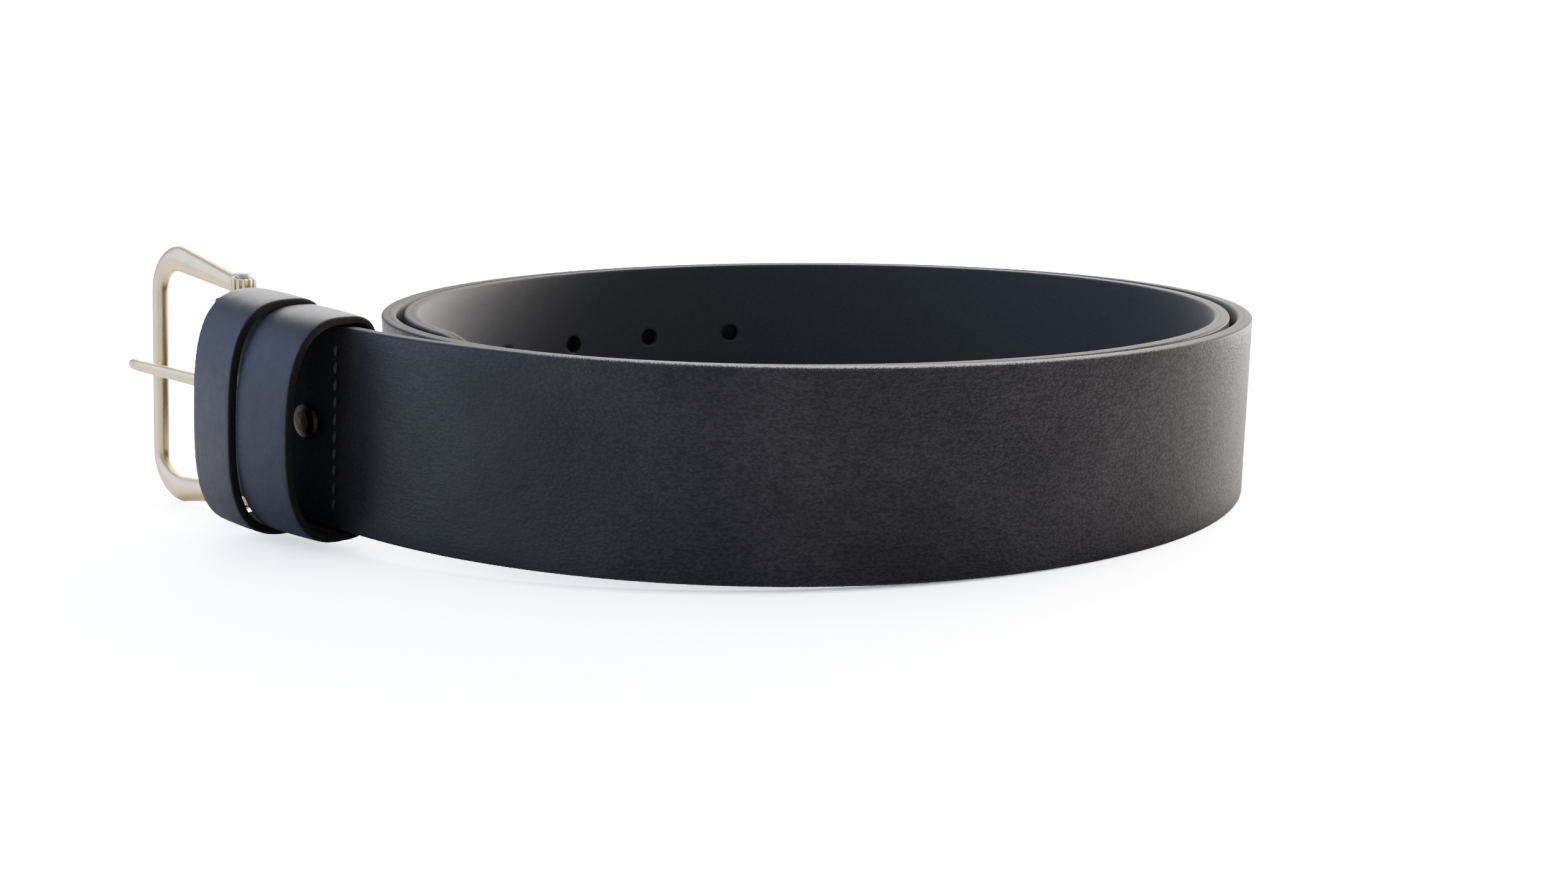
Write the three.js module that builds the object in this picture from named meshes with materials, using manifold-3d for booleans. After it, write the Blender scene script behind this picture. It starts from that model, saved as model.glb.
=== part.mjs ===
// A leather belt wound into a coil of two turns that stands on its lower edge. Its buckle end leaves
// the coil as a short straight tail, which rises because the buckle is taller than the strap is wide.
//
// Millimetres, +Z up. The tail lies along X with the buckle towards -X, and the strap's grain side
// faces -Y there. The origin is the centre of the bounding box's base.

import * as THREE from 'three';
import { mergeVertices } from 'three/addons/utils/BufferGeometryUtils.js';
import Module from 'manifold-3d';

const wasm = await Module();
wasm.setup();

// ---- Driving dimensions ----

const CLEARANCE = 0.3; // between pieces that touch

// Strap: one ply of thick leather, thinned where it is folded back behind the buckle.
const STRAP_WIDTH = 40;
const STRAP_THICKNESS = 3.2;
const EDGE_BEVEL = 0.5;
const SKIVED_THICKNESS = 1.8;
const BACK_PLY_HALF_WIDTH = 18.4; // the folded end is trimmed a little narrower
const TIP_LENGTH = 24;
const TIP_END_SHARE = 0.22; // of the width left at the very end of the tip
const SAMPLE_STEP = 6;

// Coil, seen from above: a slightly oval spiral, whose turns lie closer on its flat sides.
const COIL_RADIUS = 98.4;
const COIL_OVAL = 2.6;
const COIL_AXIS = 39; // degrees, direction of the oval's long axis
const TURN_GAP = 0.4;
const TURN_GAP_AT_ENDS = 1.5; // extra, at both ends of the long axis
const PASS_START = 137; // degrees, where the strap begins to pass inside its last turn
const PASS_SWEEP = 160;
const COIL_START = -11.25; // degrees, where the front arc runs into the spiral
const COIL_END = 624;

// Front arc and tail.
const FRONT_RADIUS = 127.4;
const TAIL_LENGTH = 38.5; // from the heel bar to the front arc
const RISE_SLOPE = 0.053; // of the tail
const RISE_LENGTH = 180; // over which the slope builds up
const RISE_END = 41.2; // distance from the heel bar where the slope is full
const TAIL_ROLL = 3; // degrees, the upper edge leaning inwards

// Fold around the heel bar.
const BAR_RADIUS = 1.5;
const EYE_RADIUS = 2.3; // inside of the leather
const EYE_EXIT = 45; // degrees at which the ply leaves the eye
const FOLD_END = 42;
const SLOT_HALF_WIDTH = 3.3;
const SLOT_END = 11;
const STITCH_X = 38.3;
const STITCH_HALF_RUN = 17;
const THREAD_RADIUS = 0.35;
const GROOVE_DEPTH = 0.7;

// Punched holes, an inch apart.
const HOLE_COUNT = 5;
const HOLE_PITCH = 25.4;
const HOLE_RADIUS = 2.4;
const FIRST_HOLE = 501.25; // degrees along the coil

// Keepers.
const KEEPER_WIDTH = 14.8;
const KEEPER_THICKNESS = 1.8;
const LOOSE_KEEPER_X = 26.3; // the edge nearer to the buckle
const LOOSE_KEEPER_HEIGHT = 45;
const LOOSE_KEEPER_FRONT = 13.5; // how far it stands off the strap's grain side
const LOOSE_KEEPER_ROUNDNESS = 2.6; // exponent of the arch: 2 is an ellipse, more is squarer
const LOOSE_KEEPER_FLARE = [-0.03, -0.01]; // shares by which depth and height grow away from the buckle
const LOOSE_KEEPER_BACK = 2.4;
const FIXED_KEEPER_X = 11;
const FIXED_KEEPER_HEIGHT = 48;
const FIXED_KEEPER_FRONT = 14.1;
const FIXED_KEEPER_FLARE = [0.065, -0.007];
const FIXED_KEEPER_ROUNDNESS = 3;
const FIXED_KEEPER_BACK = 1.9;
const FIXED_KEEPER_LAP = 8; // half length of its overlapping ends
const KEEPER_CORNER = 5; // radius of the mid-line at the back corners
const ARCH_STEPS = 32;
const STAPLE_RADIUS = 0.4;
const STAPLE_HALF_LENGTH = 4;
const STAPLE_DEPTH = 1.2;
const STAPLE_OFFSET = 4; // from the keeper's middle

// Screw posts that clamp the fold.
const SCREW_X = [29.7, 17.2];
const SCREW_HEAD_RADIUS = 3.6;
const POST_HEAD_HEIGHT = 1.2;
const SCREW_HEAD_HEIGHT = 1;
const POST_RADIUS = 2.2;
const SCREW_RADIUS = 1.3;
const SCREW_HOLE_RADIUS = POST_RADIUS + CLEARANCE;
const COUNTERBORE_DEPTH = 0.9; // into the back ply, for the first screw's head

// Buckle: a single-prong frame that widens away from its heel bar.
const FRAME_REACH = 30.8; // heel bar to the middle of the outer bar
const FRAME_HALF_HEIGHT = 25.5; // to the middle of the section, at the outer bar
const FRAME_CORNER = 8;
const FRAME_HALF_THICKNESS = 1.6;
const BAR_HALF_WIDTH = 1.8; // of the outer bar, in the frame's plane
const CORNER_HALF_WIDTH = 2.8; // the frame is widest at its corners
const HEEL_HALF_WIDTH = 1.8;
const FRAME_Z = 0.3; // the fold lets it sit a little off the middle
const LUG_INNER = STRAP_WIDTH / 2 + 0.6;
const LUG_OUTER = 24.2;
const LUG_RADIUS = 2.7;
const KNURL_COUNT = 14;
const KNURL_DEPTH = 0.3;
const PRONG_REACH = 39;
const PRONG_THICKNESS = 2.2;
const PRONG_Z = 1.5; // it sits a little above the middle of its slot
const PRONG_SLANT = 1; // degrees, the tip lower than the eye
const PRONG_HALF_WIDTH = 1.5;
const PRONG_TIP_SHARE = 0.8; // of the width left at the tip

// ---- Places that follow from them ----

const HALF_WIDTH = STRAP_WIDTH / 2;
const HALF_THICKNESS = STRAP_THICKNESS / 2;
const FOLD_RADIUS = EYE_RADIUS + HALF_THICKNESS; // of the mid-line around the heel bar
const FACE_Y = -(EYE_RADIUS + STRAP_THICKNESS); // grain side of the tail, from the heel bar's axis
const BACK_PLY_FRONT = -EYE_RADIUS + CLEARANCE;
const BACK_PLY_BACK = BACK_PLY_FRONT + SKIVED_THICKNESS;
const BACK_PLY_Y = (BACK_PLY_FRONT + BACK_PLY_BACK) / 2;

const radians = THREE.MathUtils.degToRad;
const smooth = (value) => THREE.MathUtils.smoothstep(value, 0, 1);

// ---- Materials ----

const leather = new THREE.MeshStandardMaterial({ color: 0x23252b, roughness: 0.55, metalness: 0 });
const keeperLeather = new THREE.MeshStandardMaterial({ color: 0x3a4152, roughness: 0.5, metalness: 0 });
const thread = new THREE.MeshStandardMaterial({ color: 0x2c2e36, roughness: 0.8, metalness: 0 });
const polished = new THREE.MeshStandardMaterial({ color: 0xd9d2c2, roughness: 0.2, metalness: 1 });
const steel = new THREE.MeshStandardMaterial({ color: 0xb9bcc2, roughness: 0.3, metalness: 1 });
const brass = new THREE.MeshStandardMaterial({ color: 0xb59a62, roughness: 0.3, metalness: 1 });

// ---- Solids ----

function solidOf(geometry) {
  const bare = geometry.clone();
  bare.deleteAttribute('normal');
  bare.deleteAttribute('uv');
  const merged = mergeVertices(bare, 1e-5);
  return new wasm.Manifold(new wasm.Mesh({
    numProp: 3,
    vertProperties: new Float32Array(merged.attributes.position.array),
    triVerts: new Uint32Array(merged.index.array),
  }));
}

function geometryOf(solid) {
  const mesh = solid.getMesh();
  const geometry = new THREE.BufferGeometry();
  geometry.setAttribute('position', new THREE.BufferAttribute(mesh.vertProperties, 3));
  geometry.setIndex(new THREE.BufferAttribute(mesh.triVerts, 1));
  geometry.computeVertexNormals();
  return geometry;
}

function cut(geometry, cutters) {
  const result = cutters.reduce((solid, cutter) => solid.subtract(solidOf(cutter)), solidOf(geometry));
  return geometryOf(result);
}

function join(geometries) {
  return geometryOf(geometries.map(solidOf).reduce((all, one) => all.add(one)));
}

function piece(name, geometry, material, parent) {
  const mesh = new THREE.Mesh(geometry, material);
  mesh.name = name;
  parent.add(mesh);
}

function rod(radius, length, sides = 24) {
  return new THREE.CylinderGeometry(radius, radius, length, sides);
}

// A flat outline in the Y-Z plane, made `width` thick along X from x = 0.
function extrudeAlongX(shape, width) {
  const geometry = new THREE.ExtrudeGeometry(shape, { depth: width, bevelEnabled: false });
  const axes = [new THREE.Vector3(0, 1, 0), new THREE.Vector3(0, 0, 1), new THREE.Vector3(1, 0, 0)];
  return geometry.applyMatrix4(new THREE.Matrix4().makeBasis(...axes));
}

// ---- The strap's line ----

// A place on the strap: a point on its mid-line and the directions along, into the coil and up.
function place(point, heading, slope, roll) {
  const tilt = Math.atan(slope);
  const level = new THREE.Vector3(Math.cos(heading), Math.sin(heading), 0);
  const vertical = new THREE.Vector3(0, 0, 1);
  const along = level.clone().multiplyScalar(Math.cos(tilt)).addScaledVector(vertical, -Math.sin(tilt));
  const upright = level.clone().multiplyScalar(Math.sin(tilt)).addScaledVector(vertical, Math.cos(tilt));
  const sideways = new THREE.Vector3(-Math.sin(heading), Math.cos(heading), 0);
  const up = upright.clone().multiplyScalar(Math.cos(roll)).addScaledVector(sideways, Math.sin(roll));
  const inward = sideways.multiplyScalar(Math.cos(roll)).addScaledVector(upright, -Math.sin(roll));
  return { point, along, inward, up, halfThickness: HALF_THICKNESS, halfWidth: HALF_WIDTH };
}

// Share of the passes made inside earlier turns, times the spacing of the turns there.
function turnDrop(degrees) {
  const atEnds = Math.cos(radians(degrees - COIL_AXIS)) ** 2;
  const spacing = STRAP_THICKNESS + TURN_GAP + TURN_GAP_AT_ENDS * atEnds;
  const passes = [PASS_START, PASS_START + 360].map((start) => smooth((degrees - start) / PASS_SWEEP));
  return spacing * (passes[0] + passes[1]);
}

function coilPoint(degrees) {
  const oval = COIL_OVAL * Math.cos(2 * radians(degrees - COIL_AXIS));
  const radius = COIL_RADIUS + oval - turnDrop(degrees);
  return new THREE.Vector2(radius, 0).rotateAround(new THREE.Vector2(), radians(degrees));
}

function coilHeading(degrees) {
  const nudge = 0.01;
  return coilPoint(degrees + nudge).sub(coilPoint(degrees - nudge)).angle();
}

// The slope builds up evenly towards the tail and stays even along it.
function rise(distance) {
  const run = Math.max(0, RISE_LENGTH + RISE_END - distance);
  const building = Math.min(run, RISE_LENGTH);
  return {
    lift: RISE_SLOPE * (building ** 2 / (2 * RISE_LENGTH) + run - building),
    slope: RISE_SLOPE * building / RISE_LENGTH,
    roll: radians(TAIL_ROLL) * smooth(building / RISE_LENGTH),
  };
}

function risingPlace(plan, heading, distance) {
  const { lift, slope, roll } = rise(distance);
  return place(new THREE.Vector3(plan.x, plan.y, HALF_WIDTH + lift), heading, slope, roll);
}

const arcSweep = coilHeading(COIL_START);
const arcCentre = coilPoint(COIL_START)
  .add(new THREE.Vector2(0, FRONT_RADIUS).rotateAround(new THREE.Vector2(), arcSweep));

function arcPlace(angle) {
  const plan = new THREE.Vector2(0, -FRONT_RADIUS).rotateAround(new THREE.Vector2(), angle).add(arcCentre);
  return risingPlace(plan, angle, TAIL_LENGTH + FRONT_RADIUS * angle);
}

// The tail's own axes: X towards the coil, Y inwards, Z up the heel bar, origin on the bar's middle.
const tailStart = arcPlace(0);
const heel = tailStart.point.clone()
  .addScaledVector(tailStart.along, -TAIL_LENGTH)
  .addScaledVector(tailStart.inward, FOLD_RADIUS);
const tailAxes = new THREE.Matrix4()
  .makeBasis(tailStart.along, tailStart.inward, tailStart.up)
  .setPosition(heel);

// A place in the tail's plane, heading at `turn` from the tail's direction.
function tailPlace(x, y, turn, halfThickness, halfWidth = HALF_WIDTH) {
  const spin = new THREE.Matrix4().makeRotationZ(turn);
  const local = new THREE.Matrix4().makeTranslation(x, y, 0).multiply(spin);
  const axes = tailAxes.clone().multiply(local);
  const [along, inward, up] = [0, 1, 2].map((i) => new THREE.Vector3().setFromMatrixColumn(axes, i));
  const point = new THREE.Vector3().setFromMatrixPosition(axes);
  return { point, along, inward, up, halfThickness, halfWidth };
}

// The fold, from the end of the back ply, through a return bend, and around the heel bar.
function foldPlaces() {
  const exit = radians(EYE_EXIT);
  const returnRadius = (FOLD_RADIUS * Math.cos(exit) - BACK_PLY_Y) / (1 - Math.cos(exit));
  const returnX = FOLD_RADIUS * Math.sin(exit) + returnRadius * Math.sin(exit);
  const halfSkived = SKIVED_THICKNESS / 2;
  const backPly = (x) => tailPlace(x, BACK_PLY_Y, Math.PI, halfSkived, BACK_PLY_HALF_WIDTH);
  const places = [backPly(FOLD_END), backPly(26)];
  const returnSteps = 5;
  for (let i = 0; i <= returnSteps; i += 1) {
    const share = i / returnSteps;
    const angle = exit * share;
    const x = returnX - returnRadius * Math.sin(angle);
    const y = BACK_PLY_Y + returnRadius * (1 - Math.cos(angle));
    const halfThickness = THREE.MathUtils.lerp(halfSkived, HALF_THICKNESS, share);
    const halfWidth = THREE.MathUtils.lerp(BACK_PLY_HALF_WIDTH, HALF_WIDTH, share);
    places.push(tailPlace(x, y, Math.PI - angle, halfThickness, halfWidth));
  }
  const eyeSteps = 15;
  for (let i = 1; i <= eyeSteps; i += 1) {
    const angle = Math.PI / 2 - exit + (Math.PI + exit) * i / eyeSteps;
    const x = FOLD_RADIUS * Math.cos(angle);
    const y = FOLD_RADIUS * Math.sin(angle);
    places.push(tailPlace(x, y, angle + Math.PI / 2, HALF_THICKNESS));
  }
  return places;
}

function arcPlaces() {
  const steps = Math.round(FRONT_RADIUS * arcSweep / SAMPLE_STEP);
  return Array.from({ length: steps + 1 }, (_, i) => arcPlace(arcSweep * i / steps));
}

function coilPlaceAt(degrees, distance) {
  return risingPlace(coilPoint(degrees), coilHeading(degrees), distance);
}

// The spiral, with the pointed tip over its last TIP_LENGTH.
function coilPlaces() {
  const step = THREE.MathUtils.radToDeg(SAMPLE_STEP / COIL_RADIUS);
  const tipSweep = THREE.MathUtils.radToDeg(TIP_LENGTH / COIL_RADIUS);
  const plainEnd = COIL_END - tipSweep;
  const steps = Math.round((plainEnd - COIL_START) / step);
  const arcLength = TAIL_LENGTH + FRONT_RADIUS * arcSweep;
  const places = [];
  for (let i = 1; i <= steps; i += 1) {
    const degrees = COIL_START + (plainEnd - COIL_START) * i / steps;
    const distance = arcLength + COIL_RADIUS * radians(degrees - COIL_START);
    places.push(coilPlaceAt(degrees, distance));
  }
  const tipSteps = 7;
  for (let i = 1; i <= tipSteps; i += 1) {
    const share = i / tipSteps;
    const width = Math.sqrt(1 - share ** 2 * (1 - TIP_END_SHARE ** 2));
    const tip = coilPlaceAt(plainEnd + tipSweep * share, Infinity);
    tip.halfWidth = HALF_WIDTH * width;
    places.push(tip);
  }
  return places;
}

// A path whose frames carry the half thickness and half width at each place, so a section of unit
// size follows it at full size.
class SectionPath extends THREE.Curve {
  constructor(places) {
    super();
    this.places = places;
  }

  getPoint(share) {
    return this.places[Math.round(share * (this.places.length - 1))].point.clone();
  }

  getSpacedPoints() {
    return this.places.map((each) => each.point.clone());
  }

  computeFrenetFrames() {
    return {
      tangents: this.places.map((each) => each.along.clone()),
      normals: this.places.map((each) => each.inward.clone().multiplyScalar(each.halfThickness)),
      binormals: this.places.map((each) => each.up.clone().multiplyScalar(each.halfWidth)),
    };
  }
}

function strapSection() {
  const x = 1 - EDGE_BEVEL / HALF_THICKNESS;
  const y = 1 - EDGE_BEVEL / HALF_WIDTH;
  const corners = [[x, -1], [1, -y], [1, y], [x, 1], [-x, 1], [-1, y], [-1, -y], [-x, -1]];
  return new THREE.Shape(corners.map(([px, py]) => new THREE.Vector2(px, py)));
}

// A round punch right through the tail.
function tailPunch(x, radius) {
  return rod(radius, 4 * STRAP_THICKNESS + 8).translate(x, FACE_Y + STRAP_THICKNESS, 0);
}

function counterbore(x) {
  return rod(SCREW_HEAD_RADIUS + CLEARANCE, 2 * COUNTERBORE_DEPTH).translate(x, BACK_PLY_BACK, 0);
}

function prongSlot() {
  const outline = new THREE.Shape();
  const end = SLOT_END - SLOT_HALF_WIDTH;
  outline.moveTo(-2 * FOLD_RADIUS, -SLOT_HALF_WIDTH);
  outline.lineTo(end, -SLOT_HALF_WIDTH);
  outline.absarc(end, 0, SLOT_HALF_WIDTH, -Math.PI / 2, Math.PI / 2);
  outline.lineTo(-2 * FOLD_RADIUS, SLOT_HALF_WIDTH);
  const depth = 6 * STRAP_THICKNESS;
  const slot = new THREE.ExtrudeGeometry(outline, { depth, bevelEnabled: false, curveSegments: 8 });
  return slot.translate(0, 0, -depth / 2).rotateX(Math.PI / 2);
}

function threadGroove(y) {
  const width = 2 * (THREAD_RADIUS + CLEARANCE);
  const height = 2 * (STITCH_HALF_RUN + THREAD_RADIUS + CLEARANCE);
  return new THREE.BoxGeometry(width, 2 * GROOVE_DEPTH, height).translate(STITCH_X, y, 0);
}

// A belt hole punched across the coil's ply only, at `degrees` along the coil.
function beltHole(degrees) {
  const { point, along, inward, up } = coilPlaceAt(degrees, Infinity);
  const axes = new THREE.Matrix4().makeBasis(along, inward, up).setPosition(point);
  return rod(HOLE_RADIUS, STRAP_THICKNESS + TURN_GAP, 20).applyMatrix4(axes);
}

function strap() {
  const path = new SectionPath([...foldPlaces(), ...arcPlaces(), ...coilPlaces()]);
  const blank = new THREE.ExtrudeGeometry(strapSection(), { steps: path.places.length - 1, extrudePath: path });
  const tailCuts = [
    prongSlot(),
    ...SCREW_X.map((x) => tailPunch(x, SCREW_HOLE_RADIUS)),
    counterbore(SCREW_X[0]),
    threadGroove(FACE_Y),
    threadGroove(BACK_PLY_BACK),
  ].map((cutter) => cutter.applyMatrix4(tailAxes));
  const holes = [];
  let degrees = FIRST_HOLE;
  for (let i = 0; i < HOLE_COUNT; i += 1) {
    holes.push(beltHole(degrees));
    degrees += THREE.MathUtils.radToDeg(HOLE_PITCH / coilPoint(degrees).length());
  }
  return cut(blank, [...tailCuts, ...holes]);
}

// ---- Keepers ----

// The outline of a strip of leather that follows `points`, a line in the Y-Z plane.
function strip(points, thickness) {
  const last = points.length - 1;
  const offset = (side) => points.map((point, i) => {
    const before = points[Math.max(i - 1, 0)];
    const after = points[Math.min(i + 1, last)];
    const across = after.clone().sub(before).normalize().rotateAround(new THREE.Vector2(), Math.PI / 2);
    return point.clone().addScaledVector(across, side * thickness / 2);
  });
  return new THREE.Shape([...offset(-1), ...offset(1).reverse()]);
}

// A keeper's mid-line: up the back from `startZ`, over the strap, around the arched front, and up the
// back again to `endZ`. The two back stretches can lie at different depths.
function keeperLine({ height, front, roundness, startY, startZ, endY, endZ }) {
  const top = (height - KEEPER_THICKNESS) / 2;
  const arch = front - KEEPER_THICKNESS / 2;
  const cornerSteps = 6;
  const corner = (y, side) => Array.from({ length: cornerSteps + 1 }, (_, i) => {
    const angle = Math.PI / 2 * i / cornerSteps;
    const out = KEEPER_CORNER * (1 - Math.cos(angle));
    const rise = KEEPER_CORNER * (1 - Math.sin(angle));
    return new THREE.Vector2(y - out, side * (top - rise));
  });
  const archPoints = Array.from({ length: ARCH_STEPS + 1 }, (_, i) => {
    const angle = Math.PI * i / ARCH_STEPS;
    const power = 2 / roundness;
    const out = arch * Math.sin(angle) ** power;
    const z = top * Math.sign(Math.cos(angle)) * Math.abs(Math.cos(angle)) ** power;
    return new THREE.Vector2(FACE_Y - out, z);
  });
  const start = new THREE.Vector2(startY, startZ);
  const end = new THREE.Vector2(endY, endZ);
  return [start, ...corner(startY, 1), ...archPoints, ...corner(endY, -1).reverse(), end];
}

// Makes a ring larger at the side away from the buckle and smaller at the other, by a share of the
// arch's depth and a share of the height.
function flare(geometry, [depthShare, heightShare]) {
  const position = geometry.attributes.position;
  for (let i = 0; i < position.count; i += 1) {
    const side = 2 * position.getX(i) / KEEPER_WIDTH - 1;
    const out = Math.min(0, position.getY(i) - FACE_Y);
    position.setY(i, position.getY(i) + out * depthShare * side);
    position.setZ(i, position.getZ(i) * (1 + heightShare * side));
  }
  return geometry;
}

// A ring that slides on the strap. Its ends meet behind the strap and are stapled together.
function looseKeeper() {
  const backY = LOOSE_KEEPER_BACK - KEEPER_THICKNESS / 2;
  const line = keeperLine({
    height: LOOSE_KEEPER_HEIGHT,
    front: LOOSE_KEEPER_FRONT,
    roundness: LOOSE_KEEPER_ROUNDNESS,
    startY: backY,
    startZ: CLEARANCE / 2,
    endY: backY,
    endZ: -CLEARANCE / 2,
  });
  const ring = extrudeAlongX(strip(line, KEEPER_THICKNESS), KEEPER_WIDTH);
  const legHole = (x, z) => rod(STAPLE_RADIUS + CLEARANCE, 2 * (STAPLE_DEPTH + CLEARANCE), 12)
    .translate(x, LOOSE_KEEPER_BACK, z);
  const holes = [-1, 1].flatMap((side) => {
    const x = KEEPER_WIDTH / 2 + side * STAPLE_OFFSET;
    return [legHole(x, -STAPLE_HALF_LENGTH), legHole(x, STAPLE_HALF_LENGTH)];
  });
  return cut(flare(ring, LOOSE_KEEPER_FLARE), holes).translate(LOOSE_KEEPER_X, 0, 0);
}

// A wire staple: a crown on the leather and two legs pressed into it.
function staple(side) {
  const crownY = LOOSE_KEEPER_BACK + STAPLE_RADIUS + CLEARANCE;
  const legEndY = LOOSE_KEEPER_BACK - STAPLE_DEPTH;
  const crown = rod(STAPLE_RADIUS, 2 * STAPLE_HALF_LENGTH, 12).rotateX(Math.PI / 2).translate(0, crownY, 0);
  const legs = [-1, 1].map((end) => rod(STAPLE_RADIUS, crownY - legEndY, 12)
    .translate(0, (crownY + legEndY) / 2, end * STAPLE_HALF_LENGTH));
  const shoulders = [-1, 1].map((end) => new THREE.SphereGeometry(STAPLE_RADIUS, 12, 8)
    .translate(0, crownY, end * STAPLE_HALF_LENGTH));
  const x = LOOSE_KEEPER_X + KEEPER_WIDTH / 2 + side * STAPLE_OFFSET;
  return join([crown, ...legs, ...shoulders]).translate(x, 0, 0);
}

// A ring whose ends overlap behind the strap, where the second screw clamps them.
function fixedKeeper() {
  const innerY = FIXED_KEEPER_BACK - KEEPER_THICKNESS / 2;
  const line = keeperLine({
    height: FIXED_KEEPER_HEIGHT,
    front: FIXED_KEEPER_FRONT,
    roundness: FIXED_KEEPER_ROUNDNESS,
    startY: innerY,
    startZ: -FIXED_KEEPER_LAP,
    endY: innerY + KEEPER_THICKNESS + CLEARANCE,
    endZ: FIXED_KEEPER_LAP,
  });
  const ring = extrudeAlongX(strip(line, KEEPER_THICKNESS), KEEPER_WIDTH);
  const screwHole = rod(SCREW_HOLE_RADIUS, 4 * KEEPER_THICKNESS)
    .translate(SCREW_X[1] - FIXED_KEEPER_X, innerY + KEEPER_THICKNESS, 0);
  return cut(flare(ring, FIXED_KEEPER_FLARE), [screwHole]).translate(FIXED_KEEPER_X, 0, 0);
}

// ---- Screw posts and screws ----

// Where each screw's stack of leather ends behind the strap.
const stackBacks = [BACK_PLY_BACK - COUNTERBORE_DEPTH, FIXED_KEEPER_BACK + KEEPER_THICKNESS + CLEARANCE];

// A post with a domed head on the grain side and a blind bore from behind.
function screwPost(x, backY) {
  const seatY = FACE_Y - CLEARANCE;
  const profile = [
    [0, seatY - POST_HEAD_HEIGHT],
    [0.55 * SCREW_HEAD_RADIUS, seatY - 0.88 * POST_HEAD_HEIGHT],
    [0.9 * SCREW_HEAD_RADIUS, seatY - 0.5 * POST_HEAD_HEIGHT],
    [SCREW_HEAD_RADIUS, seatY],
    [POST_RADIUS, seatY],
    [POST_RADIUS, backY],
    [SCREW_RADIUS + CLEARANCE, backY],
    [SCREW_RADIUS + CLEARANCE, seatY + CLEARANCE],
    [0, seatY + CLEARANCE],
  ];
  return lathe(profile).translate(x, 0, 0);
}

// A slotted screw that enters the post from behind.
function screw(x, backY) {
  const seatY = backY + CLEARANCE;
  const headY = seatY + SCREW_HEAD_HEIGHT;
  const profile = [
    [0, FACE_Y + CLEARANCE],
    [SCREW_RADIUS, FACE_Y + CLEARANCE],
    [SCREW_RADIUS, seatY],
    [SCREW_HEAD_RADIUS, seatY],
    [SCREW_HEAD_RADIUS, headY - 0.4],
    [SCREW_HEAD_RADIUS - 0.4, headY],
    [0, headY],
  ];
  const slotDepth = 0.6;
  const slot = new THREE.BoxGeometry(3 * SCREW_HEAD_RADIUS, 2 * slotDepth, 1).translate(0, headY, 0);
  return cut(lathe(profile), [slot]).translate(x, 0, 0);
}

// A turned solid around Y, from a profile that starts and ends on the axis.
function lathe(profile) {
  const points = profile.map(([radius, y]) => new THREE.Vector2(radius, y));
  return new THREE.LatheGeometry(points, 24);
}

// ---- Stitching across the fold ----

function stitchThread(y) {
  const geometry = new THREE.CapsuleGeometry(THREAD_RADIUS, 2 * STITCH_HALF_RUN, 3, 10);
  return geometry.rotateX(Math.PI / 2).translate(STITCH_X, y, 0);
}

// ---- Buckle ----

// A place on the frame's mid-line, in the X-Z plane, with the frame's section there.
function framePlace(x, z, heading, halfWidth) {
  return {
    point: new THREE.Vector3(x, 0, z),
    along: new THREE.Vector3(Math.cos(heading), 0, Math.sin(heading)),
    inward: new THREE.Vector3(0, 1, 0),
    up: new THREE.Vector3(-Math.sin(heading), 0, Math.cos(heading)),
    halfThickness: FRAME_HALF_THICKNESS,
    halfWidth,
  };
}

// Half of the frame, from the upper lug to the middle of the outer bar.
function halfFramePlaces() {
  const heelZ = LUG_OUTER - HEEL_HALF_WIDTH - 0.2;
  const slant = Math.atan((FRAME_HALF_HEIGHT - heelZ) / FRAME_REACH);
  const sweep = Math.PI / 2 + slant;
  const cornerX = FRAME_CORNER - FRAME_REACH;
  const cornerZ = FRAME_HALF_HEIGHT - FRAME_CORNER;
  const places = [];
  const sideSteps = 6;
  for (let i = 0; i < sideSteps; i += 1) {
    const share = i / sideSteps;
    const x = THREE.MathUtils.lerp(0, cornerX + FRAME_CORNER * Math.sin(slant), share);
    const z = THREE.MathUtils.lerp(heelZ, cornerZ + FRAME_CORNER * Math.cos(slant), share);
    const halfWidth = THREE.MathUtils.lerp(HEEL_HALF_WIDTH, CORNER_HALF_WIDTH, share);
    places.push(framePlace(x, z, Math.PI - slant, halfWidth));
  }
  const cornerSteps = 10;
  for (let i = 0; i <= cornerSteps; i += 1) {
    const share = i / cornerSteps;
    const angle = Math.PI / 2 - slant + sweep * share;
    const x = cornerX + FRAME_CORNER * Math.cos(angle);
    const z = cornerZ + FRAME_CORNER * Math.sin(angle);
    const halfWidth = THREE.MathUtils.lerp(CORNER_HALF_WIDTH, BAR_HALF_WIDTH, smooth(share));
    places.push(framePlace(x, z, angle + Math.PI / 2, halfWidth));
  }
  return places;
}

function framePlaces() {
  const upper = halfFramePlaces();
  const lower = upper.map(({ point, along, halfWidth }) => {
    const heading = Math.atan2(along.z, along.x);
    return framePlace(point.x, -point.z, Math.PI - heading, halfWidth);
  });
  return [...upper, ...lower.reverse()];
}

function roundSection(sides) {
  const corners = Array.from({ length: sides }, (_, i) => {
    return new THREE.Vector2(1, 0).rotateAround(new THREE.Vector2(), 2 * Math.PI * i / sides);
  });
  return new THREE.Shape(corners);
}

// A lug: a knurled barrel around the heel bar.
function lug(side) {
  const steps = 6 * KNURL_COUNT;
  const outline = Array.from({ length: steps }, (_, i) => {
    const angle = 2 * Math.PI * i / steps;
    const radius = LUG_RADIUS - KNURL_DEPTH * (0.5 - 0.5 * Math.cos(KNURL_COUNT * angle));
    return new THREE.Vector2(radius, 0).rotateAround(new THREE.Vector2(), angle);
  });
  const depth = LUG_OUTER - LUG_INNER;
  const barrel = new THREE.ExtrudeGeometry(new THREE.Shape(outline), { depth, bevelEnabled: false });
  return barrel.translate(0, 0, side > 0 ? LUG_INNER : -LUG_OUTER);
}

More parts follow.
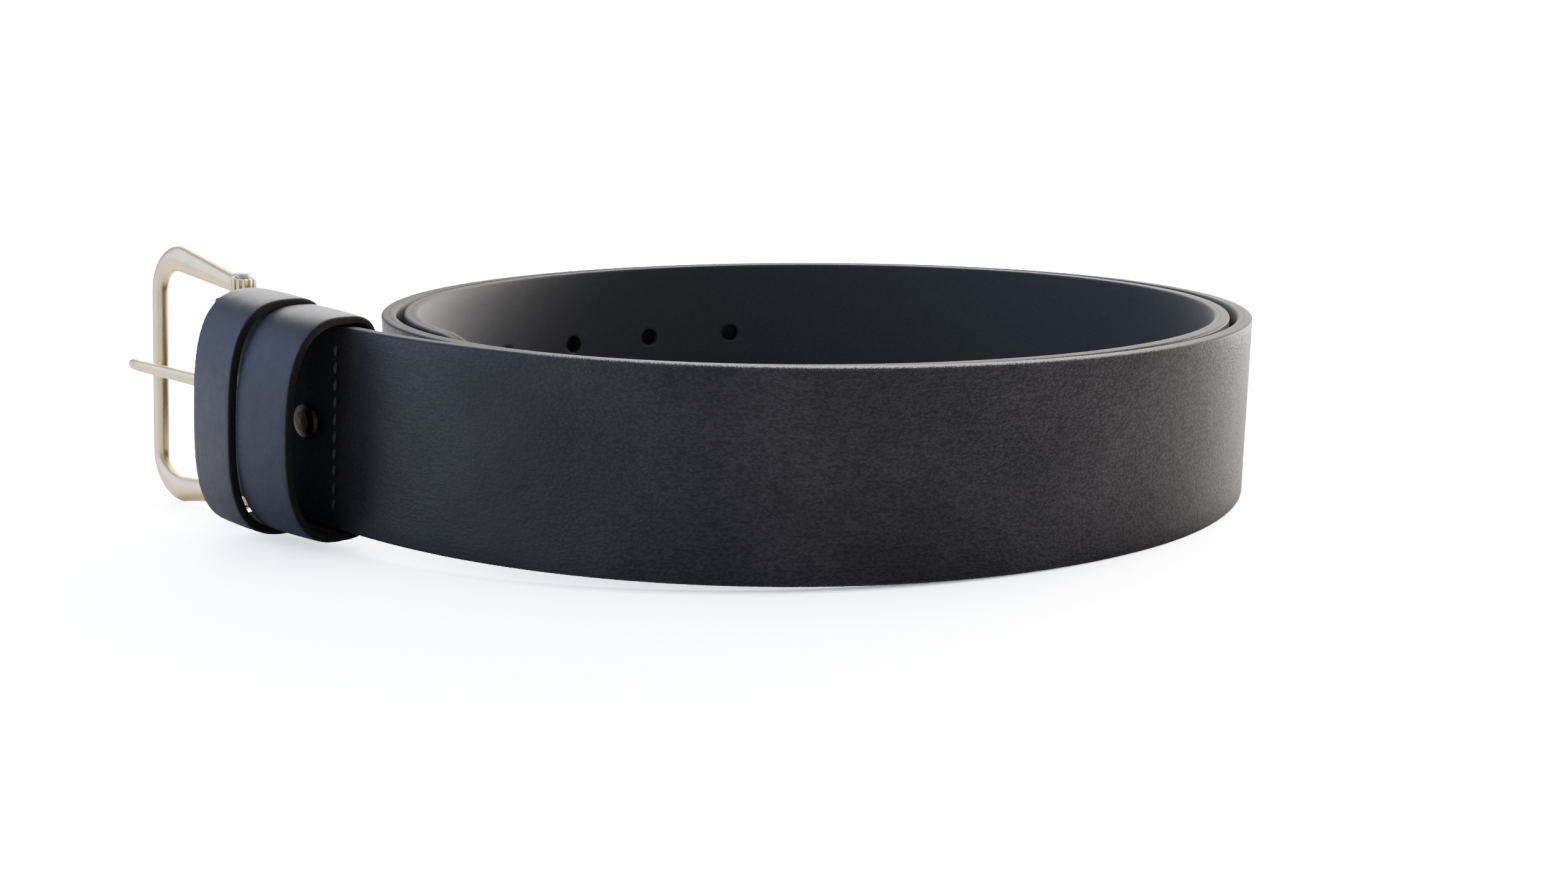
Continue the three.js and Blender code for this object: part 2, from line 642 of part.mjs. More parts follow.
function buckleFrame() {
  const path = new SectionPath(framePlaces());
  const tube = new THREE.ExtrudeGeometry(roundSection(14), { steps: path.places.length - 1, extrudePath: path });
  const bore = rod(BAR_RADIUS + CLEARANCE, 2 * LUG_OUTER + 10).rotateX(Math.PI / 2);
  return cut(join([tube, lug(-1), lug(1)]), [bore]).translate(0, 0, FRAME_Z);
}

// The bar's ends are upset into low heads, which keep it in the lugs.
function heelBar() {
  const end = LUG_OUTER + CLEARANCE;
  const head = 0.6;
  const headRadius = BAR_RADIUS + 0.6;
  const profile = [
    [0, -end - head],
    [headRadius - 0.4, -end - head],
    [headRadius, -end],
    [BAR_RADIUS, -end],
    [BAR_RADIUS, end],
    [headRadius, end],
    [headRadius - 0.4, end + head],
    [0, end + head],
  ];
  return lathe(profile).rotateX(Math.PI / 2).translate(0, 0, FRAME_Z);
}

// The prong: an eye on the heel bar, and a tapering shank that rests on the outer bar and passes it.
function prong() {
  const eyeInner = BAR_RADIUS + CLEARANCE;
  const restY = -(FRAME_HALF_THICKNESS + CLEARANCE);
  const frontY = restY - PRONG_THICKNESS;
  const eye = rod(-frontY, 2 * PRONG_HALF_WIDTH).rotateX(Math.PI / 2);
  const outline = new THREE.Shape();
  outline.moveTo(0, frontY);
  outline.lineTo(0, restY);
  outline.lineTo(-PRONG_REACH + PRONG_THICKNESS, restY);
  outline.lineTo(-PRONG_REACH, restY + 0.9);
  outline.lineTo(-PRONG_REACH - 0.6, restY);
  outline.lineTo(-PRONG_REACH + PRONG_THICKNESS, frontY);
  const depth = 2 * PRONG_HALF_WIDTH;
  const shank = new THREE.ExtrudeGeometry(outline, { depth, bevelEnabled: false }).translate(0, 0, -depth / 2);
  const cheeks = [-1, 1].map((side) => {
    const slope = Math.atan(PRONG_HALF_WIDTH * (1 - PRONG_TIP_SHARE) / PRONG_REACH);
    const size = 2 * PRONG_REACH;
    return new THREE.BoxGeometry(size, size, PRONG_REACH)
      .translate(-size / 2, 0, side * (PRONG_HALF_WIDTH + PRONG_REACH / 2))
      .rotateY(-side * slope);
  });
  const bore = rod(eyeInner, 4 * PRONG_HALF_WIDTH).rotateX(Math.PI / 2);
  return cut(join([eye, shank]), [bore, ...cheeks]).rotateY(-radians(PRONG_SLANT)).translate(0, 0, PRONG_Z);
}

// ---- Assembly ----

const belt = new THREE.Group();
const tail = new THREE.Group();
tail.applyMatrix4(tailAxes);
belt.add(tail);

piece('strap', strap(), leather, belt);
piece('fixed_keeper', fixedKeeper(), keeperLeather, tail);
piece('loose_keeper', looseKeeper(), keeperLeather, tail);
piece('loose_keeper_staple_1', staple(-1), steel, tail);
piece('loose_keeper_staple_2', staple(1), steel, tail);
SCREW_X.forEach((x, i) => {
  piece(`screw_post_${i + 1}`, screwPost(x, stackBacks[i]), brass, tail);
  piece(`screw_${i + 1}`, screw(x, stackBacks[i]), brass, tail);
});
piece('face_thread', stitchThread(FACE_Y), thread, tail);
piece('back_thread', stitchThread(BACK_PLY_BACK), thread, tail);
piece('buckle_frame', buckleFrame(), polished, tail);
piece('heel_bar', heelBar(), steel, tail);
piece('prong', prong(), polished, tail);

const bounds = new THREE.Box3().setFromObject(belt, true);
const middle = bounds.getCenter(new THREE.Vector3());
belt.position.set(-middle.x, -middle.y, -bounds.min.z);
belt.updateMatrixWorld(true);

export default belt;
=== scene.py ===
"""A leather belt wound into a standing coil: leather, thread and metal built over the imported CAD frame."""
import math

import bpy
import numpy as np
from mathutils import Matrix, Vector, noise

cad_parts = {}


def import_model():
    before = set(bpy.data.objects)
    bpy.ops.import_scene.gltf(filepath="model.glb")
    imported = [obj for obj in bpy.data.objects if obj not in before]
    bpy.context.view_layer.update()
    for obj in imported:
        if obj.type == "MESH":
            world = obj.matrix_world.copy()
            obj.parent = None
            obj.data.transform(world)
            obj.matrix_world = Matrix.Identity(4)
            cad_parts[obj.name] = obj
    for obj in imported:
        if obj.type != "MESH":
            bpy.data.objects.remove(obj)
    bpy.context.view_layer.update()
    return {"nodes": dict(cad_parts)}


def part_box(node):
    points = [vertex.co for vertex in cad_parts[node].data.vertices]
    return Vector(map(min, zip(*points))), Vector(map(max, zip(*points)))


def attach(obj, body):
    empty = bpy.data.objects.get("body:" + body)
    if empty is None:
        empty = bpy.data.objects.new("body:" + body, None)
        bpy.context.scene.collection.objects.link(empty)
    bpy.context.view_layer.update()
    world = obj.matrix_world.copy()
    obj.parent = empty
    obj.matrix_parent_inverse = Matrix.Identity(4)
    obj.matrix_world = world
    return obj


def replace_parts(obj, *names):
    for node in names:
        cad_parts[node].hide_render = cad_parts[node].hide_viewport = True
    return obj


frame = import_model()

MM = 0.001

# ---- The belt's dimensions, in millimetres and degrees, as in the CAD part ----

CLEARANCE = 0.3  # between pieces that touch

# Strap: one ply of thick leather, thinned where it is folded back behind the buckle.
STRAP_WIDTH = 40
STRAP_THICKNESS = 3.2
SKIVED_THICKNESS = 1.8
BACK_PLY_HALF_WIDTH = 18.4
TIP_LENGTH = 24
TIP_END_SHARE = 0.22  # of the width left at the very end of the tip

# Coil, seen from above: a slightly oval spiral, whose turns lie closer on its flat sides.
COIL_RADIUS = 98.4
COIL_OVAL = 2.6
COIL_AXIS = 39  # direction of the oval's long axis
TURN_GAP = 0.4
TURN_GAP_AT_ENDS = 1.5  # extra, at both ends of the long axis
PASS_START = 137  # where the strap begins to pass inside its last turn
PASS_SWEEP = 160
COIL_START = -11.25  # where the front arc runs into the spiral
COIL_END = 624

# Front arc and tail.
FRONT_RADIUS = 127.4
TAIL_LENGTH = 38.5  # from the heel bar to the front arc
RISE_SLOPE = 0.053  # of the tail
RISE_LENGTH = 180  # over which the slope builds up
RISE_END = 41.2  # distance from the heel bar where the slope is full
TAIL_ROLL = 3  # the upper edge leaning inwards

# Fold around the heel bar.
BAR_RADIUS = 1.5
EYE_RADIUS = 2.3  # inside of the leather
EYE_EXIT = 45  # angle at which the ply leaves the eye
FOLD_END = 42
SLOT_HALF_WIDTH = 3.3
SLOT_END = 11
STITCH_X = 38.3
STITCH_HALF_RUN = 17

# Punched holes, an inch apart.
HOLE_COUNT = 5
HOLE_PITCH = 25.4
HOLE_RADIUS = 2.4
FIRST_HOLE = 501.25  # angle along the coil

# Keepers. A flare is the shares by which depth and height grow away from the buckle.
KEEPER_WIDTH = 14.8
KEEPER_THICKNESS = 1.8
LOOSE_KEEPER_X = 26.3
LOOSE_KEEPER_HEIGHT = 45
LOOSE_KEEPER_FRONT = 13.5
LOOSE_KEEPER_ROUNDNESS = 2.6
LOOSE_KEEPER_FLARE = (-0.03, -0.01)
LOOSE_KEEPER_BACK = 2.4
LOOSE_KEEPER_CORNER = 4  # a little tighter than the CAD's, to clear the strap where it starts to curve
FIXED_KEEPER_X = 11
FIXED_KEEPER_HEIGHT = 48
FIXED_KEEPER_FRONT = 14.1
FIXED_KEEPER_ROUNDNESS = 3
FIXED_KEEPER_FLARE = (0.065, -0.007)
FIXED_KEEPER_BACK = 1.9
FIXED_KEEPER_CORNER = 5
FIXED_KEEPER_LAP = 8  # half length of its overlapping ends

# Screw posts that clamp the fold.
SCREW_X = (29.7, 17.2)
SCREW_HOLE_RADIUS = 2.5
SCREW_HEAD_RADIUS = 3.6
COUNTERBORE_DEPTH = 0.9

# Buckle: a single-prong frame that widens away from its heel bar.
FRAME_REACH = 30.8
FRAME_HALF_HEIGHT = 25.5
FRAME_CORNER = 8
FRAME_HALF_THICKNESS = 1.6
BAR_HALF_WIDTH = 1.8
CORNER_HALF_WIDTH = 2.8
HEEL_HALF_WIDTH = 1.8
FRAME_Z = 0.3
LUG_INNER = 20.6
LUG_OUTER = 24.2
LUG_RADIUS = 2.7
KNURL_COUNT = 14
KNURL_DEPTH = 0.3
PRONG_REACH = 39
PRONG_THICKNESS = 2.2
PRONG_Z = 1.5
PRONG_SLANT = 1  # the tip lower than the eye
PRONG_HALF_WIDTH = 1.5
PRONG_TIP_SHARE = 0.8  # of the width left at the tip

# ---- Details that only the looks need, in millimetres ----

CORNER_STEPS = 4  # across each round corner of a leather section
ROD_SIDES = 48
STRAP_EDGE_RADIUS = 0.55
THIN_EDGE_SHARE = 0.6  # of the half thickness, the largest radius that a thin edge takes
COIL_STEP = 2.0
TAIL_STEP = 1.5
TIP_STEPS = 23
KEEPER_EDGE_RADIUS = 0.5
STRAP_EDGE_FROM, KEEPER_EDGE_FROM, EDGE_FADE = 0.25, 0.3, 0.5  # where a round corner becomes cut edge
KEEPER_STEP = 1.0
KEEPER_CROWN = 0.15  # how far the face drops towards both edges
KEEPER_RAGGED = 0.10  # how far the cut edges wander
STITCH_PITCH = 3.4
STITCH_GAP = 0.7
STITCH_RADIUS = 0.36
STITCH_DIP = 0.32
STITCH_SLANT = 0.25
HEEL_INSET = 0.2  # the frame's sides end a little inside its lugs
PRONG_TIP_BEND = 0.5

# Where the strap looks different, from rubbing and from painted light and shade, as distances along it from
# its folded end.
RUBBED_START, RUBBED_FADE = 95, 60
FRONT_START, FRONT_FADE_IN = 110, 80
FRONT_END, FRONT_FADE_OUT = 295, 85

# The dull stretch under and beside the keepers, also darkened with painted shade, as distances from the end
# of the tail.
DULL_SHADE_START, DULL_SHADE_FADE_IN = -36, 8
DULL_SHADE_END, DULL_SHADE_FADE_OUT = 8, 9

# ---- Places that follow from them ----

HALF_WIDTH = STRAP_WIDTH / 2
HALF_THICKNESS = STRAP_THICKNESS / 2
FOLD_RADIUS = EYE_RADIUS + HALF_THICKNESS
FACE_Y = -(EYE_RADIUS + STRAP_THICKNESS)
BACK_PLY_FRONT = -EYE_RADIUS + CLEARANCE
BACK_PLY_BACK = BACK_PLY_FRONT + SKIVED_THICKNESS
BACK_PLY_Y = (BACK_PLY_FRONT + BACK_PLY_BACK) / 2
PRONG_BACK = -(FRAME_HALF_THICKNESS + CLEARANCE)  # the side that rests on the frame


def lerp(a, b, share):
    return a + (b - a) * share


def smooth(value):
    value = min(max(value, 0.0), 1.0)
    return value * value * (3 - 2 * value)


def distances(points):
    """How far along an open line each of its points lies."""
    return np.concatenate([[0], np.cumsum(np.linalg.norm(np.diff(points, axis=0), axis=1))])


# ---- The strap's line, as in the CAD part ----

def place(point, heading, slope, roll, half_thickness=HALF_THICKNESS, half_width=HALF_WIDTH):
    """A point on the strap's mid-line with its directions along, into the coil and up."""
    tilt = math.atan(slope)
    level = np.array([math.cos(heading), math.sin(heading), 0.0])
    vertical = np.array([0.0, 0.0, 1.0])
    sideways = np.array([-math.sin(heading), math.cos(heading), 0.0])
    along = level * math.cos(tilt) - vertical * math.sin(tilt)
    upright = level * math.sin(tilt) + vertical * math.cos(tilt)
    up = upright * math.cos(roll) + sideways * math.sin(roll)
    inward = sideways * math.cos(roll) - upright * math.sin(roll)
    return {"point": np.asarray(point, float), "along": along, "inward": inward, "up": up,
            "half_thickness": half_thickness, "half_width": half_width}


def coil_point(degrees):
    """The spiral seen from above, closer in by one spacing after each pass inside an earlier turn."""
    at_ends = math.cos(math.radians(degrees - COIL_AXIS)) ** 2
    spacing = STRAP_THICKNESS + TURN_GAP + TURN_GAP_AT_ENDS * at_ends
    passes = sum(smooth((degrees - start) / PASS_SWEEP) for start in (PASS_START, PASS_START + 360))
    oval = COIL_OVAL * math.cos(2 * math.radians(degrees - COIL_AXIS))
    radius = COIL_RADIUS + oval - spacing * passes
    return radius * np.array([math.cos(math.radians(degrees)), math.sin(math.radians(degrees))])


def coil_heading(degrees):
    nudge = 0.01
    step = coil_point(degrees + nudge) - coil_point(degrees - nudge)
    return math.atan2(step[1], step[0])


def rising_place(plan, heading, distance, half_width=HALF_WIDTH):
    """A place above `plan`, lifted and leaning by how near it is to the buckle along the strap."""
    run = max(0.0, RISE_LENGTH + RISE_END - distance)
    building = min(run, RISE_LENGTH)
    lift = RISE_SLOPE * (building ** 2 / (2 * RISE_LENGTH) + run - building)
    roll = math.radians(TAIL_ROLL) * smooth(building / RISE_LENGTH)
    point = (plan[0], plan[1], HALF_WIDTH + lift)
    return place(point, heading, RISE_SLOPE * building / RISE_LENGTH, roll, half_width=half_width)


def coil_place(degrees, distance=math.inf, half_width=HALF_WIDTH):
    """A place on the spiral, standing on the floor unless `distance` puts it where the strap rises."""
    return rising_place(coil_point(degrees), coil_heading(degrees), distance, half_width)


arc_sweep = coil_heading(COIL_START) % (2 * math.pi)
arc_centre = coil_point(COIL_START) + FRONT_RADIUS * np.array([-math.sin(arc_sweep), math.cos(arc_sweep)])


def arc_place(angle):
    plan = arc_centre + FRONT_RADIUS * np.array([math.sin(angle), -math.cos(angle)])
    return rising_place(plan, angle, TAIL_LENGTH + FRONT_RADIUS * angle)


tail_start = arc_place(0.0)
TAIL_AXES = np.column_stack([tail_start["along"], tail_start["inward"], tail_start["up"]])
heel = tail_start["point"] - tail_start["along"] * TAIL_LENGTH + tail_start["inward"] * FOLD_RADIUS


def tail_place(x, y, turn, half_thickness=HALF_THICKNESS, half_width=HALF_WIDTH):
    """A place in the tail's plane, heading at `turn` from the tail's direction."""
    along = np.array([math.cos(turn), math.sin(turn), 0.0])
    inward = np.array([-math.sin(turn), math.cos(turn), 0.0])
    return {"point": heel + TAIL_AXES @ np.array([x, y, 0.0]), "along": TAIL_AXES @ along,
            "inward": TAIL_AXES @ inward, "up": TAIL_AXES[:, 2],
            "half_thickness": half_thickness, "half_width": half_width}


def fold_places():
    """From the end of the back ply, through a return bend, around the heel bar and along the tail."""
    back_ply_steps, return_steps, eye_steps = 15, 13, 40
    bend_gap = 1  # the back ply's last place stops short of the bend's first
    exit_angle = math.radians(EYE_EXIT)
    return_radius = (FOLD_RADIUS * math.cos(exit_angle) - BACK_PLY_Y) / (1 - math.cos(exit_angle))
    return_x = (FOLD_RADIUS + return_radius) * math.sin(exit_angle)
    half_skived = SKIVED_THICKNESS / 2
    places = [tail_place(x, BACK_PLY_Y, math.pi, half_skived, BACK_PLY_HALF_WIDTH)
              for x in np.linspace(FOLD_END, return_x + bend_gap, back_ply_steps + 1)]
    for share in np.linspace(0, 1, return_steps + 1):
        angle = exit_angle * share
        places.append(tail_place(
            return_x - return_radius * math.sin(angle),
            BACK_PLY_Y + return_radius * (1 - math.cos(angle)),
            math.pi - angle,
            lerp(half_skived, HALF_THICKNESS, share),
            lerp(BACK_PLY_HALF_WIDTH, HALF_WIDTH, share)))
    for share in np.linspace(0, 1, eye_steps + 1)[1:]:
        angle = math.pi / 2 - exit_angle + (math.pi + exit_angle) * share
        places.append(tail_place(FOLD_RADIUS * math.cos(angle), FOLD_RADIUS * math.sin(angle),
                                 angle + math.pi / 2))
    places += [tail_place(x, -FOLD_RADIUS, 2 * math.pi) for x in np.arange(TAIL_STEP, TAIL_LENGTH, TAIL_STEP)]
    return places


def coil_places():
    """The spiral, with the pointed tip over its last TIP_LENGTH."""
    tip_sweep = math.degrees(TIP_LENGTH / COIL_RADIUS)
    plain_end = COIL_END - tip_sweep
    arc_length = TAIL_LENGTH + FRONT_RADIUS * arc_sweep
    places = []
    count = int((plain_end - COIL_START) / math.degrees(COIL_STEP / COIL_RADIUS))
    for degrees in np.linspace(COIL_START, plain_end, count)[1:]:
        distance = arc_length + COIL_RADIUS * math.radians(degrees - COIL_START)
        places.append(coil_place(degrees, distance))
    for share in np.linspace(0, 1, TIP_STEPS + 1)[1:]:
        half_width = HALF_WIDTH * math.sqrt(1 - share ** 2 * (1 - TIP_END_SHARE ** 2))
        places.append(coil_place(plain_end + tip_sweep * share, half_width=half_width))
    return places


def strap_places():
    """The whole strap, from its folded end to its tip."""
    count = int(FRONT_RADIUS * arc_sweep / COIL_STEP)
    arc = [arc_place(angle) for angle in np.linspace(0, arc_sweep, count)]
    return fold_places() + arc + coil_places()


# The CAD part's origin is under the middle of its box, so the line is shifted to the strap's box.
outer_turn = [coil_place(degrees) for degrees in range(PASS_START - 1)]
outside = np.array([p["point"] - p["inward"] * HALF_THICKNESS for p in outer_turn])
strap_high = np.array(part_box("strap")[1]) / MM
SHIFT = np.array([strap_high[0] - outside[:, 0].max(), strap_high[1] - outside[:, 1].max(), 0.0])


def to_tail(points):
    """Points given along the tail, through it and up the heel bar, in the row frame in metres."""
    return (np.asarray(points, float) @ TAIL_AXES.T + heel + SHIFT) * MM


# ---- Mesh making ----

def mesh_object(name, vertices, faces, material, smooth_shading=True):
    """A new object in the scene, from vertices in metres."""
    mesh = bpy.data.meshes.new(name)
    mesh.from_pydata([tuple(v) for v in vertices], [], [tuple(f) for f in faces])
    mesh.validate()
    mesh.update()
    mesh.polygons.foreach_set("use_smooth", [smooth_shading] * len(mesh.polygons))
    mesh.materials.append(material)
    obj = bpy.data.objects.new(name, mesh)
    bpy.context.scene.collection.objects.link(obj)
    return obj


def ring_faces(rings, size, closed=False):
    """Quads between rings of `size` points, and caps over the two ends of an open run."""
    faces = []
    for i in range(rings if closed else rings - 1):
        a, b = i * size, ((i + 1) % rings) * size
        faces += [(a + j, b + j, b + (j + 1) % size, a + (j + 1) % size) for j in range(size)]
    if not closed:
        faces.append(tuple(range(size)))
        faces.append(tuple((rings - 1) * size + j for j in reversed(range(size))))
    return faces


def flipped(faces):
    """The same faces looking the other way."""
    return [face[::-1] for face in faces]


def prism_faces(size):
    """Faces of a prism whose two ends have `size` points each."""
    faces = [(i, (i + 1) % size, size + (i + 1) % size, size + i) for i in range(size)]
    return faces + [tuple(reversed(range(size))), tuple(range(size, 2 * size))]


def joined(parts):
    """One list of vertices and one of faces, from several pairs of them."""
    vertices, faces = [], []
    for part_vertices, part_faces in parts:
        start = len(vertices)
        vertices += part_vertices
        faces += [tuple(start + v for v in face) for face in part_faces]
    return vertices, faces


def edge_outline(half_x, half_y, radius, count_x, count_y):
    """A rectangle with round corners: points, and for each the share by which it is on a Y end."""
    arcs = []
    corners = [((-1, 1), math.pi), ((1, 1), math.pi / 2), ((1, -1), 0), ((-1, -1), -math.pi / 2)]
    for (side_x, side_y), start in corners:
        centre = (side_x * (half_x - radius), side_y * (half_y - radius))
        angles = [start - math.pi / 2 * i / CORNER_STEPS for i in range(CORNER_STEPS + 1)]
        arcs.append([(centre[0] + radius * math.cos(a), centre[1] + radius * math.sin(a), abs(math.sin(a)))
                     for a in angles])
    points = []
    for quarter, arc in enumerate(arcs):
        (x, y, on_end), target = arc[-1], arcs[(quarter + 1) % len(arcs)][0]
        count = (count_x, count_y)[quarter % 2]
        points += arc
        points += [(lerp(x, target[0], i / count), lerp(y, target[1], i / count), on_end)
                   for i in range(1, count)]
    return points


def set_attribute(obj, name, values, kind="FLOAT"):
    attribute = obj.data.attributes.new(name, kind, "POINT")
    key = "value" if kind == "FLOAT" else "vector"
    attribute.data.foreach_set(key, np.asarray(values, float).ravel())


def cut(obj, cutters):
    """Cuts each cutter out of obj and applies the result."""
    for cutter in cutters:
        modifier = obj.modifiers.new("cut", "BOOLEAN")
        modifier.operation = "DIFFERENCE"
        modifier.object = cutter
        modifier.solver = "EXACT"
        modifier.material_mode = "TRANSFER"
    graph = bpy.context.evaluated_depsgraph_get()
    result = bpy.data.meshes.new_from_object(obj.evaluated_get(graph))
    obj.modifiers.clear()
    obj.data = result
    for cutter in cutters:
        bpy.data.objects.remove(cutter)


def rod(name, centre, axis, radius, length, material):
    """A plain round cutter in metres, along an axis that lies nearly level."""
    axis = np.asarray(axis) / np.linalg.norm(axis)
    level = np.cross([0.0, 0.0, 1.0], axis)
    level /= np.linalg.norm(level)
    upright = np.cross(axis, level)
    vertices = []
    for end in (-0.5, 0.5):
        for i in range(ROD_SIDES):
            angle = 2 * math.pi * i / ROD_SIDES
            spoke = level * math.cos(angle) + upright * math.sin(angle)
            vertices.append(centre + axis * length * end + radius * spoke)
    return mesh_object(name, vertices, prism_faces(ROD_SIDES), material, smooth_shading=False)


# ---- Materials ----

def grey(level):
    return (level, level, level)


def shaded(colour, factor):
    return tuple(c * factor for c in colour)


class Nodes:
    """Short calls for building one material's node tree."""

    def __init__(self, name):
        self.material = bpy.data.materials.new(name)
        self.material.use_nodes = True
        self.tree = self.material.node_tree
        self.shader = self.tree.nodes["Principled BSDF"]

    def add(self, kind, **settings):
        node = self.tree.nodes.new(kind)
        for key, value in settings.items():
            setattr(node, key, value)
        return node

    def link(self, source, target):
        self.tree.links.new(source, target)

    def put(self, target, value):
        """Links a socket, or sets a plain number or colour."""
        if hasattr(value, "is_output"):
            self.link(value, target)
        else:
            target.default_value = value

    def math(self, operation, a, b=0.0, clamp=False):
        node = self.add("ShaderNodeMath", operation=operation, use_clamp=clamp)
        self.put(node.inputs[0], a)
        self.put(node.inputs[1], b)
        return node.outputs[0]

    def linear(self, value, factor, offset):
        """value * factor + offset"""
        return self.math("ADD", self.math("MULTIPLY", value, factor), offset)

    def swing(self, value, factor):
        """A texture's departure from its middle value, times a factor."""
        return self.math("MULTIPLY", self.math("SUBTRACT", value, 0.5), factor)

    def vector_math(self, operation, a, b):
        node = self.add("ShaderNodeVectorMath", operation=operation)
        self.put(node.inputs[0], a)
        self.put(node.inputs[1], b)
        return node.outputs[0]

    def scaled(self, vector, scale):
        return self.vector_math("MULTIPLY", vector, scale)

    def attribute(self, name, output="Fac"):
        return self.add("ShaderNodeAttribute", attribute_name=name).outputs[output]

    def noise(self, vector, scale, detail=3.0, roughness=0.5, output="Fac"):
        node = self.add("ShaderNodeTexNoise")
        self.put(node.inputs["Vector"], vector)
        node.inputs["Scale"].default_value = scale
        node.inputs["Detail"].default_value = detail
        node.inputs["Roughness"].default_value = roughness
        return node.outputs[output]

    def voronoi(self, vector, scale, feature="F1"):
        node = self.add("ShaderNodeTexVoronoi", feature=feature)
        self.put(node.inputs["Vector"], vector)
        node.inputs["Scale"].default_value = scale
        if feature == "SMOOTH_F1":
            node.inputs["Smoothness"].default_value = 0.6
        return node.outputs["Distance"]

    def ramp(self, value, stops):
        """A grey ramp through (position, level) stops."""
        node = self.add("ShaderNodeValToRGB")
        self.put(node.inputs[0], value)
        elements = node.color_ramp.elements
        while len(elements) < len(stops):
            elements.new(0.5)
        for element, (position, level) in zip(elements, stops):
            element.position = position
            element.color = (*grey(level), 1)
        return node.outputs[0]

    def mix(self, share, a, b):
        node = self.add("ShaderNodeMix", data_type="RGBA")
        self.put(node.inputs[0], share)
        for socket, value in ((node.inputs[6], a), (node.inputs[7], b)):
            self.put(socket, (*value, 1) if isinstance(value, tuple) else value)
        return node.outputs[2]

    def bump(self, height, strength, distance):
        """Gives the shader a bump, with its distance in metres."""
        node = self.add("ShaderNodeBump")
        self.put(node.inputs["Strength"], strength)
        node.inputs["Distance"].default_value = distance
        self.put(node.inputs["Height"], height)
        self.link(node.outputs[0], self.shader.inputs["Normal"])


def grain_relief(n, skin):
    """The height of the pebbled grain side, and how far a place is sunk between its pebbles."""
    wobble = n.scaled(n.noise(skin, scale=0.9, detail=2.0, output="Color"), (0.9, 0.9, 0))
    warped = n.vector_math("ADD", skin, wobble)
    pebbles = n.voronoi(n.scaled(warped, (1.1, 1.9, 1)), scale=1.35, feature="SMOOTH_F1")
    creases = n.noise(n.scaled(skin, (0.22, 1.1, 1)), scale=1.0, detail=4.0, roughness=0.62)
    pores = n.noise(skin, scale=5.5, detail=2.0, roughness=0.6)
    height = n.math("ADD", n.math("MULTIPLY", pebbles, -0.8), n.math("MULTIPLY", creases, 1.1))
    height = n.math("ADD", height, n.math("MULTIPLY", pores, 0.25))
    sunk = n.ramp(n.math("ADD", pebbles, n.swing(creases, -0.9)), [(0.2, 0.0), (0.7, 1.0)])
    return height, sunk


def face_colour(n, skin, handled_and_lit, sunk, matte_and_shade, dark, light):
    """The grain side: two shades in soft clouds, with painted light at the coil's front, painted shade where
    it is sunk or dull, and a little dust.
    """
    clouds = n.noise(skin, scale=0.045, detail=3.0, roughness=0.55)
    colour = n.mix(n.ramp(clouds, [(0.35, 0.0), (0.65, 1.0)]), dark, light)
    # painted light and shade: lighter and warmer at the lit front of the coil, darker and bluer elsewhere
    colour = n.mix(handled_and_lit, n.scaled(colour, (0.85, 0.85, 0.9)), n.scaled(colour, (1.5, 1.45, 1.45)))
    # painted shade: darker where the grain is sunk between the pebbles and in the creases
    colour = n.mix(sunk, colour, shaded(dark, 0.3))
    # painted shade: the strap darkened towards black under and beside the keepers
    colour = n.mix(n.math("MULTIPLY", matte_and_shade, 0.45), colour, grey(0.002))
    dust = n.ramp(n.voronoi(skin, scale=0.085), [(0.010, 0.5), (0.016, 0.0)])
    return n.mix(dust, colour, grey(0.55))


def cut_edge_colour(n, skin, worn_and_lit, edge_dark, edge_light, light):
    """A cut edge with a dark seam: like the face at the buckle, with painted shade beyond and painted glints
    at the front.
    """
    speckle = n.noise(n.scaled(skin, (1.1, 2.0, 4.0)), scale=1.7, detail=3.0, roughness=0.8)
    colour = n.mix(n.ramp(speckle, [(0.38, 0.0), (0.62, 1.0)]), edge_dark, edge_light)
    off_middle = 0.25
    axes = n.add("ShaderNodeSeparateXYZ")
    n.link(skin, axes.inputs[0])
    drift = n.swing(n.noise(skin, scale=0.25, detail=2.0), 0.7)
    seam = n.math("ABSOLUTE", n.math("ADD", n.math("SUBTRACT", axes.outputs["Z"], off_middle), drift))
    colour = n.mix(n.ramp(seam, [(0.06, 0.75), (0.24, 0.0)]), colour, shaded(edge_dark, 0.25))
    # painted shade: past the lit front of the coil, the edge is blackened
    colour = n.mix(n.ramp(worn_and_lit, [(0.5, 0.65), (1.0, 0.0)]), colour, grey(0.01))
    colour = n.mix(n.ramp(worn_and_lit, [(0.0, 1.0), (0.5, 0.0)]), colour, shaded(light, 1.3))
    # painted glints: near-white highlight specks on the edge at the lit front of the coil
    glints = n.noise(n.scaled(skin, (1.0, 1.5, 1.5)), scale=4.2, detail=1.0)
    bright = n.ramp(worn_and_lit, [(0.5, 0.0), (1.0, 1.0)])
    glint = n.math("MULTIPLY", n.ramp(glints, [(0.55, 0.0), (0.63, 1.0)]), bright)
    return n.mix(glint, colour, (0.9, 0.9, 0.92))


def turn_line(n, edge, flesh):
    """The share by which a place is on the dark line where the grain side turns into the cut edge."""
    line = n.ramp(edge, [(0.02, 0.0), (0.3, 1.0), (0.75, 0.0)])
    grain_side = n.math("SUBTRACT", 1.0, flesh, clamp=True)
    return n.math("MULTIPLY", n.math("MULTIPLY", line, grain_side), 0.85)


def leather_roughness(n, skin, sunk, flesh, edge, matte_and_shade, rough):
    roughness = n.linear(n.noise(skin, scale=0.35), 0.14, rough)
    roughness = n.math("ADD", roughness, n.math("MULTIPLY", sunk, 0.6))
    for share, level in ((flesh, 0.8), (edge, 1.0), (matte_and_shade, 1.0)):
        roughness = n.mix(share, roughness, grey(level))
    return roughness


